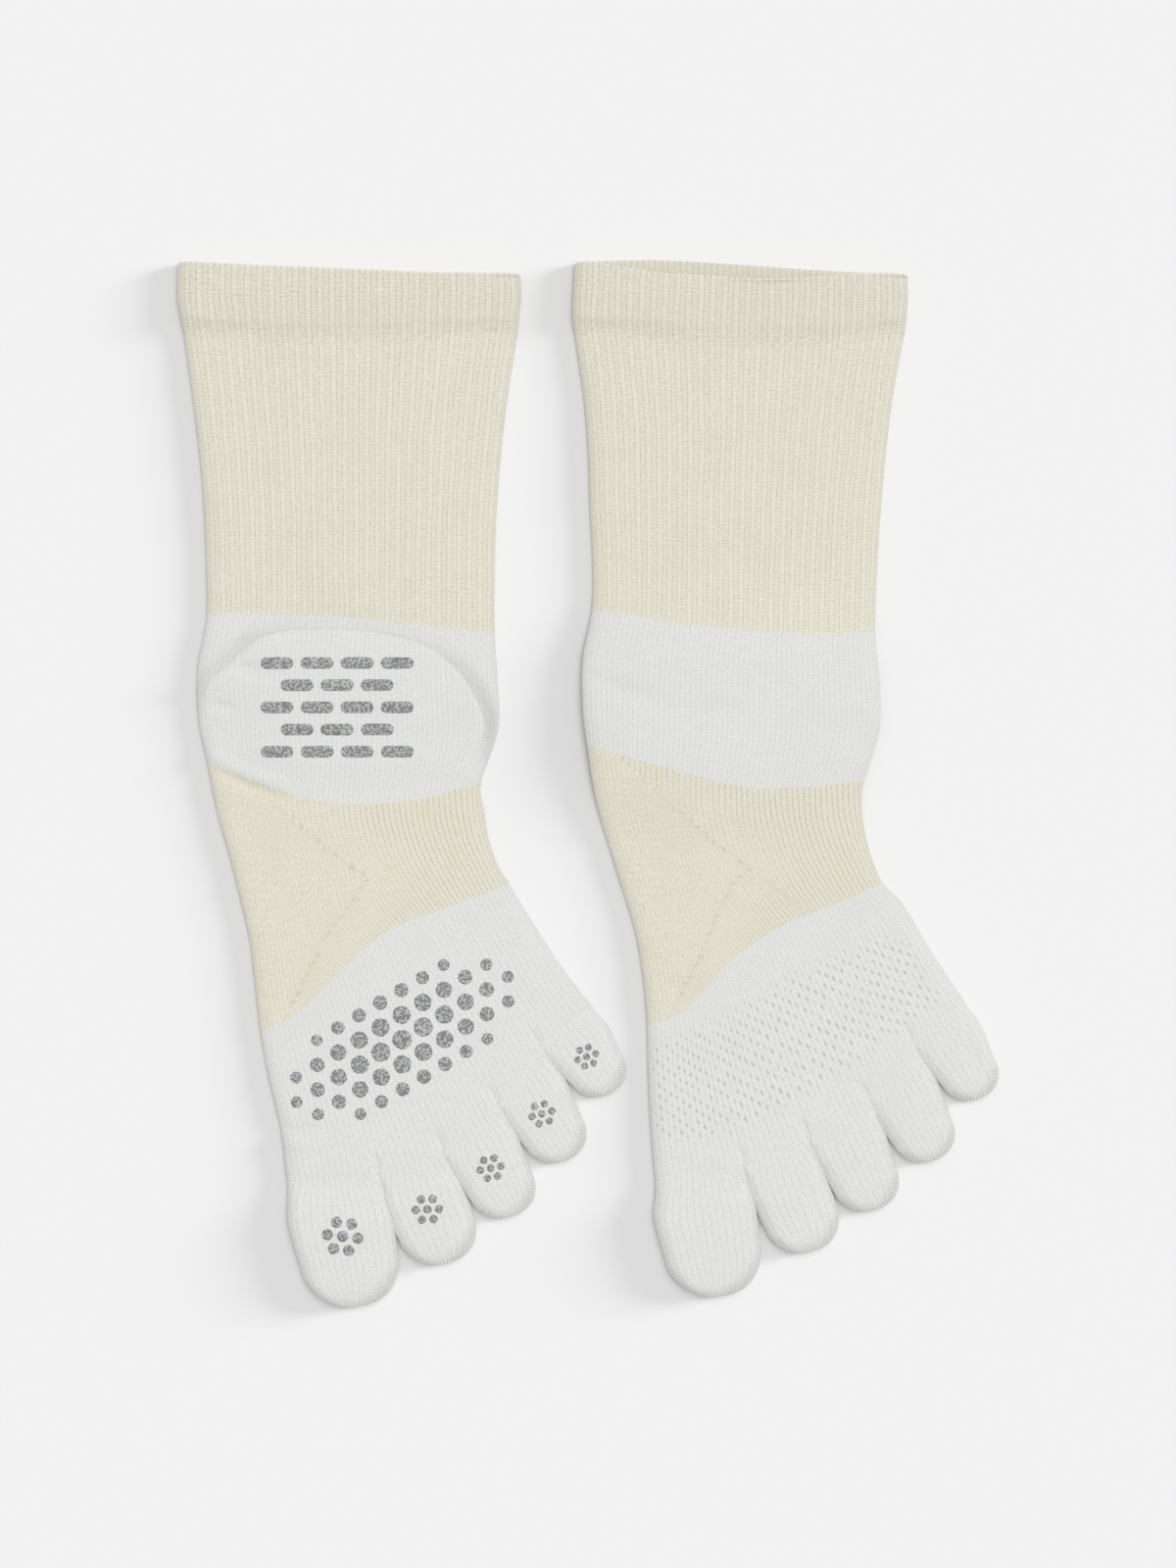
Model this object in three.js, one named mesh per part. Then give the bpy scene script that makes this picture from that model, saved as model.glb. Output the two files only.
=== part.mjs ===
import * as THREE from 'three';
import { mergeVertices } from 'three/addons/utils/BufferGeometryUtils.js';

// A pair of crew toe socks laid flat side by side, toes towards -Y. Millimetres, +Z up.
// One sock lies sole side up with its heel pocket folded on top of it. The other lies instep up,
// so its heel pocket is folded beneath it and lifts the ankle.
// Each sock is drawn in a frame of its own: x runs across from the leg's centre line, and "down"
// runs along the sock from the highest point of the cuffs.

// Driving sizes
const SOCK_SPACING = 111.7; // between the centre lines of the two legs
const CLOTH = 1.2; // wall of plain knit
const WELT_CLOTH = 2.1; // wall of the cuff, which is folded in on itself
const SEAM_GAP = 0.3; // between two stretches of one tube
const SLANT_SEAM_GAP = 0.7; // between arch and forefoot, whose line slants steeply
const TOE_LINE_GAP = 0.9; // between the foot's slanting end and the toe tubes
const LAYER_GAP = 0.3; // between the tube and the pocket that lies on or under it
const RIBS_ACROSS = 30; // 1x1 ribs on the face that shows
const RIB_HEIGHT = 0.5;
const WELT_ROLL = 0.9; // how far the rounded top edge of the cuff rises over its flanks
const CROWN = 0.5; // how much the upper layer bulges at mid width
const POCKET_HEIGHT = 2.6; // two layers of folded heel cloth
const POCKET_LIFT = 3.1; // how high a pocket beneath raises the tube over it
const TOE_ROOT_FOLD = 0.6; // width of a toe tube's side folds where it leaves the foot
const TOE_SIDE_FOLD = 4.4; // width of the folds further on, where the tube is a soft oval
const TOE_FOLD_RUN = 7.5; // over this length the folds widen
const TOE_SQUARED_BY = 0.7; // share of the barrel after which its rings are square to its lean
const TOE_FULL_BY = 0.6; // share of the barrel after which it has its full height
const TIP_SHARE = 0.47; // length of the tip as a share of the width where it starts
const TIP_CORNER = { left: 1.05, right: 0.72, height: 0.5 }; // 1 is an even oval, less is blunter
const TOE_OUTER_STOPS = { stops: [0, 0.18, 0.36, 0.6, 1], closings: [0.45, 0.85, 1.2, Math.PI / 2] };
const TOE_INNER_STOPS = { stops: [0, 0.36, 1], closings: [0.7, 1.2, Math.PI / 2] };

const CREAM = new THREE.Color(0.78, 0.745, 0.63);
const WHITE = new THREE.Color(0.8, 0.8, 0.79);

// The stretches of a sock's tube from the cuff down: height over both layers where the stretch
// starts and ends, wall, steps along its outer and its inner surface.
const STRETCHES = [
  { name: 'cuff', start: 5.2, end: 4.8, wall: WELT_CLOTH, outer: 3, inner: 2, ribs: true, colour: CREAM },
  { name: 'leg', start: 4.0, end: 3.7, wall: CLOTH, outer: 6, inner: 3, ribs: true, colour: CREAM },
  { name: 'ankle', start: 3.7, end: 3.7, wall: CLOTH, outer: 7, inner: 4, ribs: false, colour: WHITE },
  { name: 'arch', start: 3.7, end: 3.8, wall: CLOTH, outer: 6, inner: 4, ribs: false, colour: CREAM },
  { name: 'forefoot', start: 3.8, end: 4.4, wall: CLOTH, outer: 5, inner: 4, ribs: false, colour: WHITE },
];

// Facets across the flats of the upper and the lower layer. Each fold beside them takes two more.
const FLATS = {
  outer: { upper: 16, lower: 8 },
  inner: { upper: 8, lower: 6 },
  toeOuter: { upper: 6, lower: 4 },
  toeInner: { upper: 4, lower: 3 },
};
const FOLD_SHARE = 0.12; // part of a layer's turns given to each of its two folds

// Sock that lies sole side up. Lines cross the sock from its left edge to its right edge, [x, down].
// Edge lists hold the outline between the ends of two lines.
const SOLE_UP = {
  name: 'sole_up',
  place: -SOCK_SPACING / 2,
  pocketAbove: true,
  mouthDip: 0,
  lines: {
    cuff: [[-49, 0.8], [-24, 2], [0, 3], [24, 4], [48.6, 4.2]],
    leg: [[-47.7, 20.4], [-30, 22], [-8, 23.2], [20, 22.2], [47.8, 21]],
    ankle: [[-41, 101.6], [-20, 101.6], [0, 102.4], [20, 104.6], [41.3, 107.2]],
    arch: [[-41, 142.8], [-24.5, 149.8], [-3, 155.5], [20, 154], [37.4, 149.2]],
    forefoot: [[-25.6, 220.6], [-14.7, 215], [-2.7, 203], [12, 191], [27, 185.2], [45.5, 178.4]],
    toes: [[-18.3, 261.2], [8.5, 260.4], [26.5, 254], [42.1, 240.5], [54.2, 224], [68.7, 212.8]],
  },
  leftEdge: {
    cuff: [[-49.2, 9.8], [-48.5, 15.4]],
    leg: [[-45.2, 37.8], [-43.2, 54], [-41.8, 70], [-41.2, 86]],
    ankle: [[-43.6, 117], [-43.4, 131]],
    arch: [[-37.9, 158], [-34.3, 171], [-29.2, 191.8], [-27.3, 205.8]],
    forefoot: [[-23.2, 233.8], [-19.8, 248.5]],
  },
  rightEdge: {
    cuff: [[48.9, 9.8], [48.4, 15.4]],
    leg: [[45.2, 37.8], [43.2, 54], [41.9, 71], [41.3, 88]],
    ankle: [[42.1, 120], [42.3, 134]],
    arch: [[38.2, 157], [39.6, 165.5], [42.2, 173]],
    forefoot: [[52.5, 190], [61.4, 203.5]],
  },
  // From the big toe on. Lean is from straight down, turned towards +x, in degrees, and bend is how
  // far the tip then lies to the right.
  toes: [
    { lean: 8.5, length: 38.6, belly: 28.6, end: 28, height: 5.6, bend: 0.9 },
    { lean: 17.5, length: 31, belly: 21.3, end: 22.4, height: 5.2, bend: 1.1 },
    { lean: 26.5, length: 28.5, belly: 19.6, end: 19.2, height: 5.2, bend: 0.2 },
    { lean: 30.5, length: 28.4, belly: 18.9, end: 18.2, height: 5, bend: 0 },
    { lean: 33.5, length: 23.4, belly: 17.6, end: 16.6, height: 4.8, bend: 0.3 },
  ],
};

// Sock that lies instep up, in the same columns.
const INSTEP_UP = {
  name: 'instep_up',
  place: SOCK_SPACING / 2,
  pocketAbove: false,
  mouthDip: 3.4,
  lines: {
    cuff: [[-47.5, 0.8], [-24, 0.3], [0, 1.6], [24, 3.3], [47.3, 4.4]],
    leg: [[-47.8, 20.4], [-30, 22], [-8, 24], [20, 23.7], [46.6, 21]],
    ankle: [[-42.7, 100], [-22, 103.6], [0, 106], [18, 107.2], [38.2, 106.6]],
    arch: [[-44.1, 138.6], [-24, 144.5], [0, 150.6], [18, 150.6], [34.9, 149]],
    forefoot: [[-27, 218.4], [-15.8, 214], [-4.6, 201.6], [10, 190.8], [26.2, 184.2], [40.3, 177.9]],
    toes: [[-24.8, 261.8], [0.4, 257.9], [18.6, 250], [35.9, 238.8], [48.3, 222.6], [63.4, 211.4]],
  },
  leftEdge: {
    cuff: [[-48, 9.8], [-48.2, 15.4]],
    leg: [[-45.2, 37.8], [-43.8, 54], [-43.3, 70], [-42.5, 86]],
    ankle: [[-45.3, 114], [-45.3, 128]],
    arch: [[-41.5, 154.5], [-36.5, 172], [-30.6, 191], [-28, 205.8]],
    forefoot: [[-26.6, 233.8], [-25.9, 247.8]],
  },
  rightEdge: {
    cuff: [[47.5, 9.8], [47.2, 15.4]],
    leg: [[43.5, 37.8], [41.4, 54], [39.9, 71], [38.8, 88]],
    ankle: [[39.3, 120], [39.3, 134]],
    arch: [[34.4, 156.5], [35.6, 165], [37.7, 172]],
    forefoot: [[46.6, 184.8], [55, 198.8]],
  },
  toes: [
    { lean: 7, length: 36.4, belly: 28.2, end: 27.6, height: 5.6, bend: 1 },
    { lean: 19, length: 31, belly: 21, end: 21.4, height: 5.2, bend: 0.7 },
    { lean: 23.5, length: 29, belly: 19.6, end: 19.2, height: 5.2, bend: 0 },
    { lean: 27.5, length: 29.4, belly: 18.8, end: 18.2, height: 5, bend: 0 },
    { lean: 30, length: 25.6, belly: 18, end: 16.8, height: 4.8, bend: 0.2 },
  ],
};

// Outline of the flattened heel pocket on the ankle stretch: across from 0 to 1 between the edges,
// and along from 0 at the ankle's first line to 1 at the arch.
const POCKET_OUTLINE = [
  { across: 0.02, along: 0.58 },
  { across: 0.04, along: 0.42 },
  { across: 0.115, along: 0.26 },
  { across: 0.19, along: 0.13 },
  { across: 0.3, along: 0.08 },
  { across: 0.5, along: 0.06 },
  { across: 0.68, along: 0.075 },
  { across: 0.785, along: 0.13 },
  { across: 0.86, along: 0.24 },
  { across: 0.912, along: 0.39 },
  { across: 0.945, along: 0.57 },
  { across: 0.965, along: 0.8 },
  { across: 0.95, along: 0.96 },
  { across: 0.8, along: 0.985 },
  { across: 0.5, along: 0.985 },
  { across: 0.2, along: 0.985 },
  { across: 0.05, along: 0.96 },
  { across: 0.02, along: 0.8 },
];
const POCKET_MIDDLE = { across: 0.5, along: 0.52 };
const POCKET_SECTORS = 40;
const POCKET_UPPER_RINGS = [1, 0.985, 0.95, 0.8, 0.5];
const POCKET_LOWER_RINGS = [0.995, 0.8, 0.5];
const POCKET_EDGE_SHARE = 0.45; // height of the pocket's rim as a share of its full height
const POCKET_FLATNESS = 10; // the higher, the flatter its top and the tighter its rim

const vector2 = ([x, down]) => new THREE.Vector2(x, -down);
const mix = THREE.MathUtils.lerp;
const clamp = THREE.MathUtils.clamp;
const smooth = THREE.MathUtils.smoothstep;

// Left or right outline of the whole tube as one curve, and where each stretch starts on it.
function edgeOf(shape, side) {
  const points = [];
  const starts = [];
  const end = side === 'leftEdge' ? (line) => line[0] : (line) => line[line.length - 1];
  for (const { name } of STRETCHES) {
    starts.push(points.length);
    points.push(end(shape.lines[name]), ...shape[side][name]);
  }
  starts.push(points.length);
  points.push(end(shape.lines.toes));
  const curve = new THREE.SplineCurve(points.map(vector2));
  const spans = points.length - 1;
  return (index, along) => curve.getPoint(mix(starts[index], starts[index + 1], along) / spans);
}

// Plan of one sock: a function from stretch, across and along to a point. Each stretch is the patch
// ruled between its two lines and pulled out to the two edges.
function planOf(shape) {
  const lines = Object.values(shape.lines).map((line) => new THREE.SplineCurve(line.map(vector2)));
  const left = edgeOf(shape, 'leftEdge');
  const right = edgeOf(shape, 'rightEdge');
  const ruled = (index, across, along) =>
    lines[index].getPointAt(across).lerp(lines[index + 1].getPointAt(across), along);
  const point = (index, across, along) => {
    const leftPull = left(index, along).sub(ruled(index, 0, along));
    const rightPull = right(index, along).sub(ruled(index, 1, along));
    return ruled(index, across, along).add(leftPull.lerp(rightPull, across));
  };
  return { point, toeLine: lines[lines.length - 1] };
}

// Section of a flattened tube. Turn goes from 0 at the left fold over the upper layer to 1 at the
// right fold and back under the lower layer to 2. Offset moves the surface out, or in if negative.
function section(turn, { width, height, fold, foldShare, crown }, offset) {
  const upper = turn <= 1;
  const share = upper ? turn : 2 - turn;
  const half = height / 2;
  const foldIn = Math.max(fold + offset, 0.25);
  const fromEdge = Math.min(share, 1 - share);
  let inset = foldIn - offset;
  let rise = half + offset;
  if (fromEdge < foldShare) {
    const angle = (fromEdge / foldShare) * (Math.PI / 2);
    inset = -offset + foldIn * (1 - Math.cos(angle));
    rise *= Math.sin(angle);
  } else {
    inset += ((fromEdge - foldShare) / (0.5 - foldShare)) * (width / 2 - inset);
  }
  const across = share < 0.5 ? inset / width : 1 - inset / width;
  const z = half + (upper ? rise + crown * Math.sin(Math.PI * share) : -rise);
  return { across: clamp(across, 0, 1), z };
}

// Shares of one layer from fold to fold: two facets round each fold and even ones between.
function layerShares(flats) {
  const even = Array.from({ length: flats + 1 }, (_, k) => mix(FOLD_SHARE, 1 - FOLD_SHARE, k / flats));
  return [0, FOLD_SHARE / 2, ...even, 1 - FOLD_SHARE / 2];
}

// Turns of the points on a plain ring.
const below = (shares) => shares.map((share) => 1 + share);
const ringTurns = ({ upper, lower }) => [...layerShares(upper), ...below(layerShares(lower))];

// Turns on a ribbed ring: each rib is a ridge and a groove, spaced evenly along the upper layer.
function ribbedTurns(lower) {
  const even = Array.from({ length: 2 * RIBS_ACROSS }, (_, k) => k / (2 * RIBS_ACROSS));
  return [...even, ...below(layerShares(lower))];
}

const ribRise = (turn) => (turn <= 1 && Math.round(turn * 2 * RIBS_ACROSS) % 2 === 1 ? RIB_HEIGHT : 0);

// Share of a layer's length that one of its folds takes.
const trueFoldShare = (width, fold) => (Math.PI * fold) / 2 / (width - 2 * fold + Math.PI * fold);

// How far a pocket folded beneath lifts the tube, at a point of the plan.
function pocketLift(shape, plan) {
  if (shape.pocketAbove) return () => 0;
  const ankle = STRETCHES.findIndex(({ name }) => name === 'ankle');
  const middle = plan.point(ankle, POCKET_MIDDLE.across, POCKET_MIDDLE.along);
  const reach = { across: 42, along: 25 };
  return (point) => {
    const across = Math.abs(point.x - middle.x) / reach.across;
    const along = Math.abs(point.y - middle.y) / reach.along;
    return POCKET_LIFT * (1 - smooth(Math.hypot(across, along), 0.6, 1.75));
  };
}

// Triangles between two closed rings whose points are sorted by turn.
function zip(faces, first, second) {
  let i = 0;
  let j = 0;
  const turnOf = (ring, k) => ring.turns[k % ring.turns.length] + (k >= ring.turns.length ? 2 : 0);
  const at = (ring, k) => ring.start + (k % ring.turns.length);
  while (i < first.turns.length || j < second.turns.length) {
    const nextFirst = i < first.turns.length ? turnOf(first, i + 1) : Infinity;
    const nextSecond = j < second.turns.length ? turnOf(second, j + 1) : Infinity;
    if (nextFirst <= nextSecond) {
      faces.push(at(first, i), at(second, j), at(first, i + 1));
      i += 1;
    } else {
      faces.push(at(first, i), at(second, j), at(second, j + 1));
      j += 1;
    }
  }
}

// A closed body from a chain of rings, each a list of points with their turns. The chain either
// returns to its first ring, as round a tube's wall, or starts and ends in a single point.
function bodyFromRings(rings, closed) {
  const positions = [];
  const faces = [];
  const placed = rings.map(({ turns, points }) => {
    const start = positions.length / 3;
    points.forEach((point) => positions.push(point.x, point.y, point.z));
    return { turns, start };
  });
  for (let k = 0; k + 1 < placed.length; k += 1) zip(faces, placed[k], placed[k + 1]);
  if (closed) zip(faces, placed[placed.length - 1], placed[0]);
  const geometry = new THREE.BufferGeometry();
  geometry.setAttribute('position', new THREE.Float32BufferAttribute(positions, 3));
  geometry.setIndex(withoutSlivers(positions, faces));
  return mergeVertices(geometry, 1e-4);
}

// Drops the empty triangles that a ring of one repeated point leaves.
function withoutSlivers(positions, faces) {
  const place = (index) => positions.slice(3 * index, 3 * index + 3);
  const key = (index) => place(index).map((value) => value.toFixed(4)).join();
  const kept = [];
  for (let k = 0; k < faces.length; k += 3) {
    const corners = faces.slice(k, k + 3);
    if (new Set(corners.map(key)).size === 3) kept.push(...corners);
  }
  return kept;
}

function mesh(name, geometry, colour) {
  const material = new THREE.MeshStandardMaterial({ color: colour, roughness: 0.95, metalness: 0 });
  const piece = new THREE.Mesh(geometry, material);
  piece.name = name;
  return piece;
}

// One stretch of the tube: outer surface down, inner surface back up, joined at both rims.
function stretchMesh(shape, plan, lift, index) {
  const stretch = STRETCHES[index];
  const outerTurns = stretch.ribs ? ribbedTurns(FLATS.outer.lower) : ringTurns(FLATS.outer);
  const innerTurns = ringTurns(FLATS.inner);
  const length = plan.point(index, 0.5, 0).distanceTo(plan.point(index, 0.5, 1));
  const gapAt = (line) => (STRETCHES[line]?.name === 'forefoot' ? SLANT_SEAM_GAP : SEAM_GAP) / 2 / length;
  const first = gapAt(index);
  const last = 1 - gapAt(index + 1);
  const ring = (turns, along, offsetOf, drop = 0) => {
    const height = mix(stretch.start, stretch.end, along);
    const width = plan.point(index, 0, along).distanceTo(plan.point(index, 1, along));
    const fold = height / 2;
    const evenRibs = stretch.ribs && turns === outerTurns;
    const dipAt = (turn) => shape.mouthDip * Math.sin(Math.PI * turn) * (1 - along) ** 2;
    const points = turns.map((turn) => {
      const foldShare = evenRibs && turn <= 1 ? trueFoldShare(width, fold) : FOLD_SHARE;
      const sizes = { width, height, fold, foldShare, crown: CROWN };
      const { across, z } = section(turn, sizes, offsetOf(turn));
      const flat = plan.point(index, across, along);
      const dip = index === 0 && turn < 1 ? dipAt(turn) : 0;
      return new THREE.Vector3(flat.x, flat.y - drop - dip, z + lift(flat));
    });
    return { turns, points };
  };
  const outer = (turn) => (stretch.ribs ? ribRise(turn) : 0);
  const inner = () => -stretch.wall;
  const rolled = (along) => (index === 0 && along === first ? WELT_ROLL : 0);
  const stops = (steps) => Array.from({ length: steps + 1 }, (_, k) => mix(first, last, k / steps));
  const rings = stops(stretch.outer).map((along) => ring(outerTurns, along, outer, rolled(along)));
  const back = stops(stretch.inner).reverse();
  rings.push(...back.map((along) => ring(innerTurns, along, inner, rolled(along))));
  if (index === 0) rings.push(ring(innerTurns, first, () => -stretch.wall / 2));
  return mesh(`${stretch.name}_${shape.name}`, bodyFromRings(rings, true), stretch.colour);
}

// Shares of the toe line where the toes part, with the two edges of the foot at its ends.
function toePartings(toeLine, count) {
  const divisions = 40;
  const lengths = toeLine.getLengths(count * divisions);
  return Array.from({ length: count + 1 }, (_, k) => lengths[k * divisions] / lengths[count * divisions]);
}

// One toe tube: it leaves the toe line between two partings, turns square to its own lean, swells
// to its belly and closes in a blunt tip.
function toeMesh(shape, plan, number) {
  const toe = shape.toes[number];
  const partings = toePartings(plan.toeLine, shape.toes.length);
  const lineLength = plan.toeLine.getLength();
  const from = partings[number] + SEAM_GAP / 2 / lineLength;
  const to = partings[number + 1] - SEAM_GAP / 2 / lineLength;
  const lean = THREE.MathUtils.degToRad(toe.lean);
  const ahead = new THREE.Vector2(Math.sin(lean), -Math.cos(lean));
  const sideways = new THREE.Vector2(Math.cos(lean), Math.sin(lean));
  const rootLeft = plan.toeLine.getPointAt(from);
  const rootRight = plan.toeLine.getPointAt(to);
  const rootMiddle = rootLeft.clone().lerp(rootRight, 0.5);
  const rootWidth = rootLeft.distanceTo(rootRight);
  const rootHeight = STRETCHES[STRETCHES.length - 1].end;
  const tip = TIP_SHARE * toe.end;
  const barrel = toe.length - tip;
  const widthAt = (share) =>
    share < 0.5
      ? mix(rootWidth, toe.belly, smooth(share, 0, 0.5))
      : mix(toe.belly, toe.end, smooth(share, 0.5, 1));
  const ring = (turns, distance, closing, offset) => {
    const share = clamp(distance / barrel, 0, 1);
    const squeeze = Math.cos(closing);
    const width = widthAt(share);
    const height = mix(rootHeight, toe.height, smooth(share, 0, TOE_FULL_BY));
    const fold = mix(TOE_ROOT_FOLD, TOE_SIDE_FOLD, smooth(distance, 0, TOE_FOLD_RUN));
    const squared = smooth(distance, 0, TOE_SQUARED_BY * barrel);
    const sizes = { width, height, fold, foldShare: FOLD_SHARE, crown: CROWN };
    const points = turns.map((turn) => {
      const { across, z } = section(turn, sizes, offset);
      const corner = across < 0.5 ? TIP_CORNER.left : TIP_CORNER.right;
      const aside = (across - 0.5) * width * squeeze ** corner + toe.bend * share ** 2;
      const rootPoint = plan.toeLine.getPointAt(mix(from, to, across)).addScaledVector(ahead, distance);
      const square = rootMiddle.clone().addScaledVector(ahead, distance).addScaledVector(sideways, aside);
      const flat = rootPoint.lerp(square, squared);
      const rise = (z - height / 2) * squeeze ** TIP_CORNER.height;
      return new THREE.Vector3(flat.x, flat.y, height / 2 + rise);
    });
    return { turns, points };
  };
  const start = TOE_LINE_GAP - SEAM_GAP / 2;
  const surface = (turns, { stops, closings }, offset) => [
    ...stops.map((share) => ring(turns, mix(start, barrel, share), 0, offset)),
    ...closings.map((angle) => ring(turns, barrel + (tip + offset) * Math.sin(angle), angle, offset)),
  ];
  const rings = surface(ringTurns(FLATS.toeInner), TOE_INNER_STOPS, -CLOTH).reverse();
  rings.push(...surface(ringTurns(FLATS.toeOuter), TOE_OUTER_STOPS, 0));
  return mesh(`toe_${number + 1}_${shape.name}`, bodyFromRings(rings, false), WHITE);
}

// The heel pocket, pressed flat: a rounded pad of two layers that follows the tube it lies against.
function pocketMesh(shape, plan, lift) {
  const ankle = STRETCHES.findIndex(({ name }) => name === 'ankle');
  const { start: height } = STRETCHES[ankle];
  const corners = [...POCKET_OUTLINE, POCKET_OUTLINE[0]];
  const cornerAt = ({ across, along }) => new THREE.Vector2(across, along);
  const outline = new THREE.SplineCurve(corners.map(cornerAt));
  const turns = Array.from({ length: POCKET_SECTORS }, (_, k) => (2 * k) / POCKET_SECTORS);
  const middle = new THREE.Vector2(POCKET_MIDDLE.across, POCKET_MIDDLE.along);
  const ring = (radius, heightOf) => {
    const points = turns.map((turn) => {
      const spot = middle.clone().lerp(outline.getPoint(turn / 2), radius);
      const flat = plan.point(ankle, spot.x, spot.y);
      return new THREE.Vector3(flat.x, flat.y, heightOf(flat, spot, radius));
    });
    return { turns, points };
  };
  const roundness = (radius) => Math.sqrt(1 - radius ** POCKET_FLATNESS);
  const tubeTop = (flat, spot) => {
    const width = plan.point(ankle, 0, spot.y).distanceTo(plan.point(ankle, 1, spot.y));
    const fold = height / 2;
    const inset = Math.min(spot.x, 1 - spot.x) * width;
    const rise = inset < fold ? Math.sqrt(fold ** 2 - (fold - inset) ** 2) : fold;
    return height / 2 + rise + CROWN * Math.sin(Math.PI * spot.x);
  };
  const share = (radius) => mix(POCKET_EDGE_SHARE, 1, roundness(radius));
  const above = {
    low: (flat, spot) => tubeTop(flat, spot) + LAYER_GAP,
    high: (flat, spot, radius) => tubeTop(flat, spot) + LAYER_GAP + POCKET_HEIGHT * share(radius),
  };
  const beneath = {
    low: () => 0,
    high: (flat, spot, radius) => (lift(flat) - LAYER_GAP) * share(radius),
  };
  const { low, high } = shape.pocketAbove ? above : beneath;
  const rings = [ring(0, low), ...[...POCKET_LOWER_RINGS].reverse().map((radius) => ring(radius, low))];
  rings.push(...POCKET_UPPER_RINGS.map((radius) => ring(radius, high)), ring(0, high));
  return mesh(`heel_pocket_${shape.name}`, bodyFromRings(rings, false), WHITE);
}

function sock(shape) {
  const group = new THREE.Group();
  const plan = planOf(shape);
  const lift = pocketLift(shape, plan);
  STRETCHES.forEach((_, index) => group.add(stretchMesh(shape, plan, lift, index)));
  shape.toes.forEach((_, number) => group.add(toeMesh(shape, plan, number)));
  group.add(pocketMesh(shape, plan, lift));
  group.position.x = shape.place;
  return group;
}

// The pair, centred over its own outline and resting at z = 0.
const pair = new THREE.Group();
pair.add(sock(SOLE_UP), sock(INSTEP_UP));
pair.updateMatrixWorld(true);
const outlineBox = new THREE.Box3().setFromObject(pair);
const outlineMiddle = outlineBox.getCenter(new THREE.Vector3());
pair.position.set(-outlineMiddle.x, -outlineMiddle.y, -outlineBox.min.z);

export default pair;
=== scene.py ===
"""A pair of knitted toe socks laid flat side by side, one sole side up and one instep up.

Each sock is drawn in millimetres in a frame of its own: x runs across from the leg's centre line and
"down" runs along the sock from the top of the cuffs. The meshes are in metres.
"""

import logging
import math
from collections.abc import Callable
from dataclasses import dataclass, field
from enum import Enum
from functools import partial

import bpy
import numpy as np
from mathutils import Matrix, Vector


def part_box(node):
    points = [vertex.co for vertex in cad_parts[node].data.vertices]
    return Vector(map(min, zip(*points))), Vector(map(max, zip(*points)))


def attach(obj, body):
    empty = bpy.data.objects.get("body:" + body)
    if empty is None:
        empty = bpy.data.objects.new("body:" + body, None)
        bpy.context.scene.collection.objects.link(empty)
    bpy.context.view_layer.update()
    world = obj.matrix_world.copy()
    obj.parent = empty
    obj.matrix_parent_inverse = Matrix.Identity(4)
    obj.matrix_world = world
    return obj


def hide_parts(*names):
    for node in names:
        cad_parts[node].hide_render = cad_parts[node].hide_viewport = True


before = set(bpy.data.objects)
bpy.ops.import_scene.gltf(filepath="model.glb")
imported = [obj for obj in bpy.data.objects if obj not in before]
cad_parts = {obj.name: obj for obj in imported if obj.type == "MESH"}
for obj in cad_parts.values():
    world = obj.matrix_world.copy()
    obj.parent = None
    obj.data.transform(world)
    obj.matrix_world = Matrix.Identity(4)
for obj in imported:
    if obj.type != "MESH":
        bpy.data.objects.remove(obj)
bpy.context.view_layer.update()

log = logging.getLogger("toe_socks")
Array = np.ndarray
MM = 0.001

# Sizes in millimetres, and shares
SOCK_SPACING = 111.7
CLOTH = 1.2
WELT_CLOTH = 2.1
RIBS_PER_LAYER = 30
WALES_PER_LAYER = 2 * RIBS_PER_LAYER
COURSE = 1.04
RIB_HEIGHT = 0.045
WELT_ROLL = 0.9
EDGE_FOLD = 4.8
LOW_FOLD_SHARE = 0.4
SEAT = 0.14
LAYER_GAP = 0.3
POCKET_LIFT = 3.1
WALE_PITCH = 1.5
WALE_BEND_START = 152.0
WALE_BEND_RUN = 44.0
GORE_PITCH = 1.7
GORE_RISE = 0.45
GORE_WIDTH = 1.1
MARK_LINE = 10.0
MARK_PITCH = 3.0
SEAM_STITCH = 0.9
WAVE_HEIGHT = 0.06
FADE_TO_LEG = (0.78, 1.0)
POCKET_REACH = (42.0, 25.0)
POCKET_MIDDLE = (0.5, 0.52)
INNER_ROWS = 7
TURNOVER_ROWS = 7
MOUTH_SHADE = 0.3
MESH_UPPER_BORDER = [(-40, 227), (-15.8, 218.4), (-0.4, 210.8), (13.9, 202.2), (35.1, 193.5), (60, 188)]
MESH_LOWER_BORDER = [(-40, 258), (0.1, 250.6), (20.9, 238.6), (37.4, 228.5), (50, 219), (72, 200)]


def smooth(value: Array, low: float, high: float) -> Array:
    """Soft step: 0 below low, 1 above high, and t squared times (3 - 2 t) between.

    Args:
        value: numbers to step.
        low: where the step starts.
        high: where it ends.

    Returns:
        The steps, from 0 to 1.
    """
    share = np.clip((np.asarray(value, float) - low) / (high - low), 0.0, 1.0)
    return share * share * (3.0 - 2.0 * share)


def mix(first: Array, second: Array, share: Array) -> Array:
    """Straight blend: first at share 0, second at share 1."""
    return first + (second - first) * share


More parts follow.
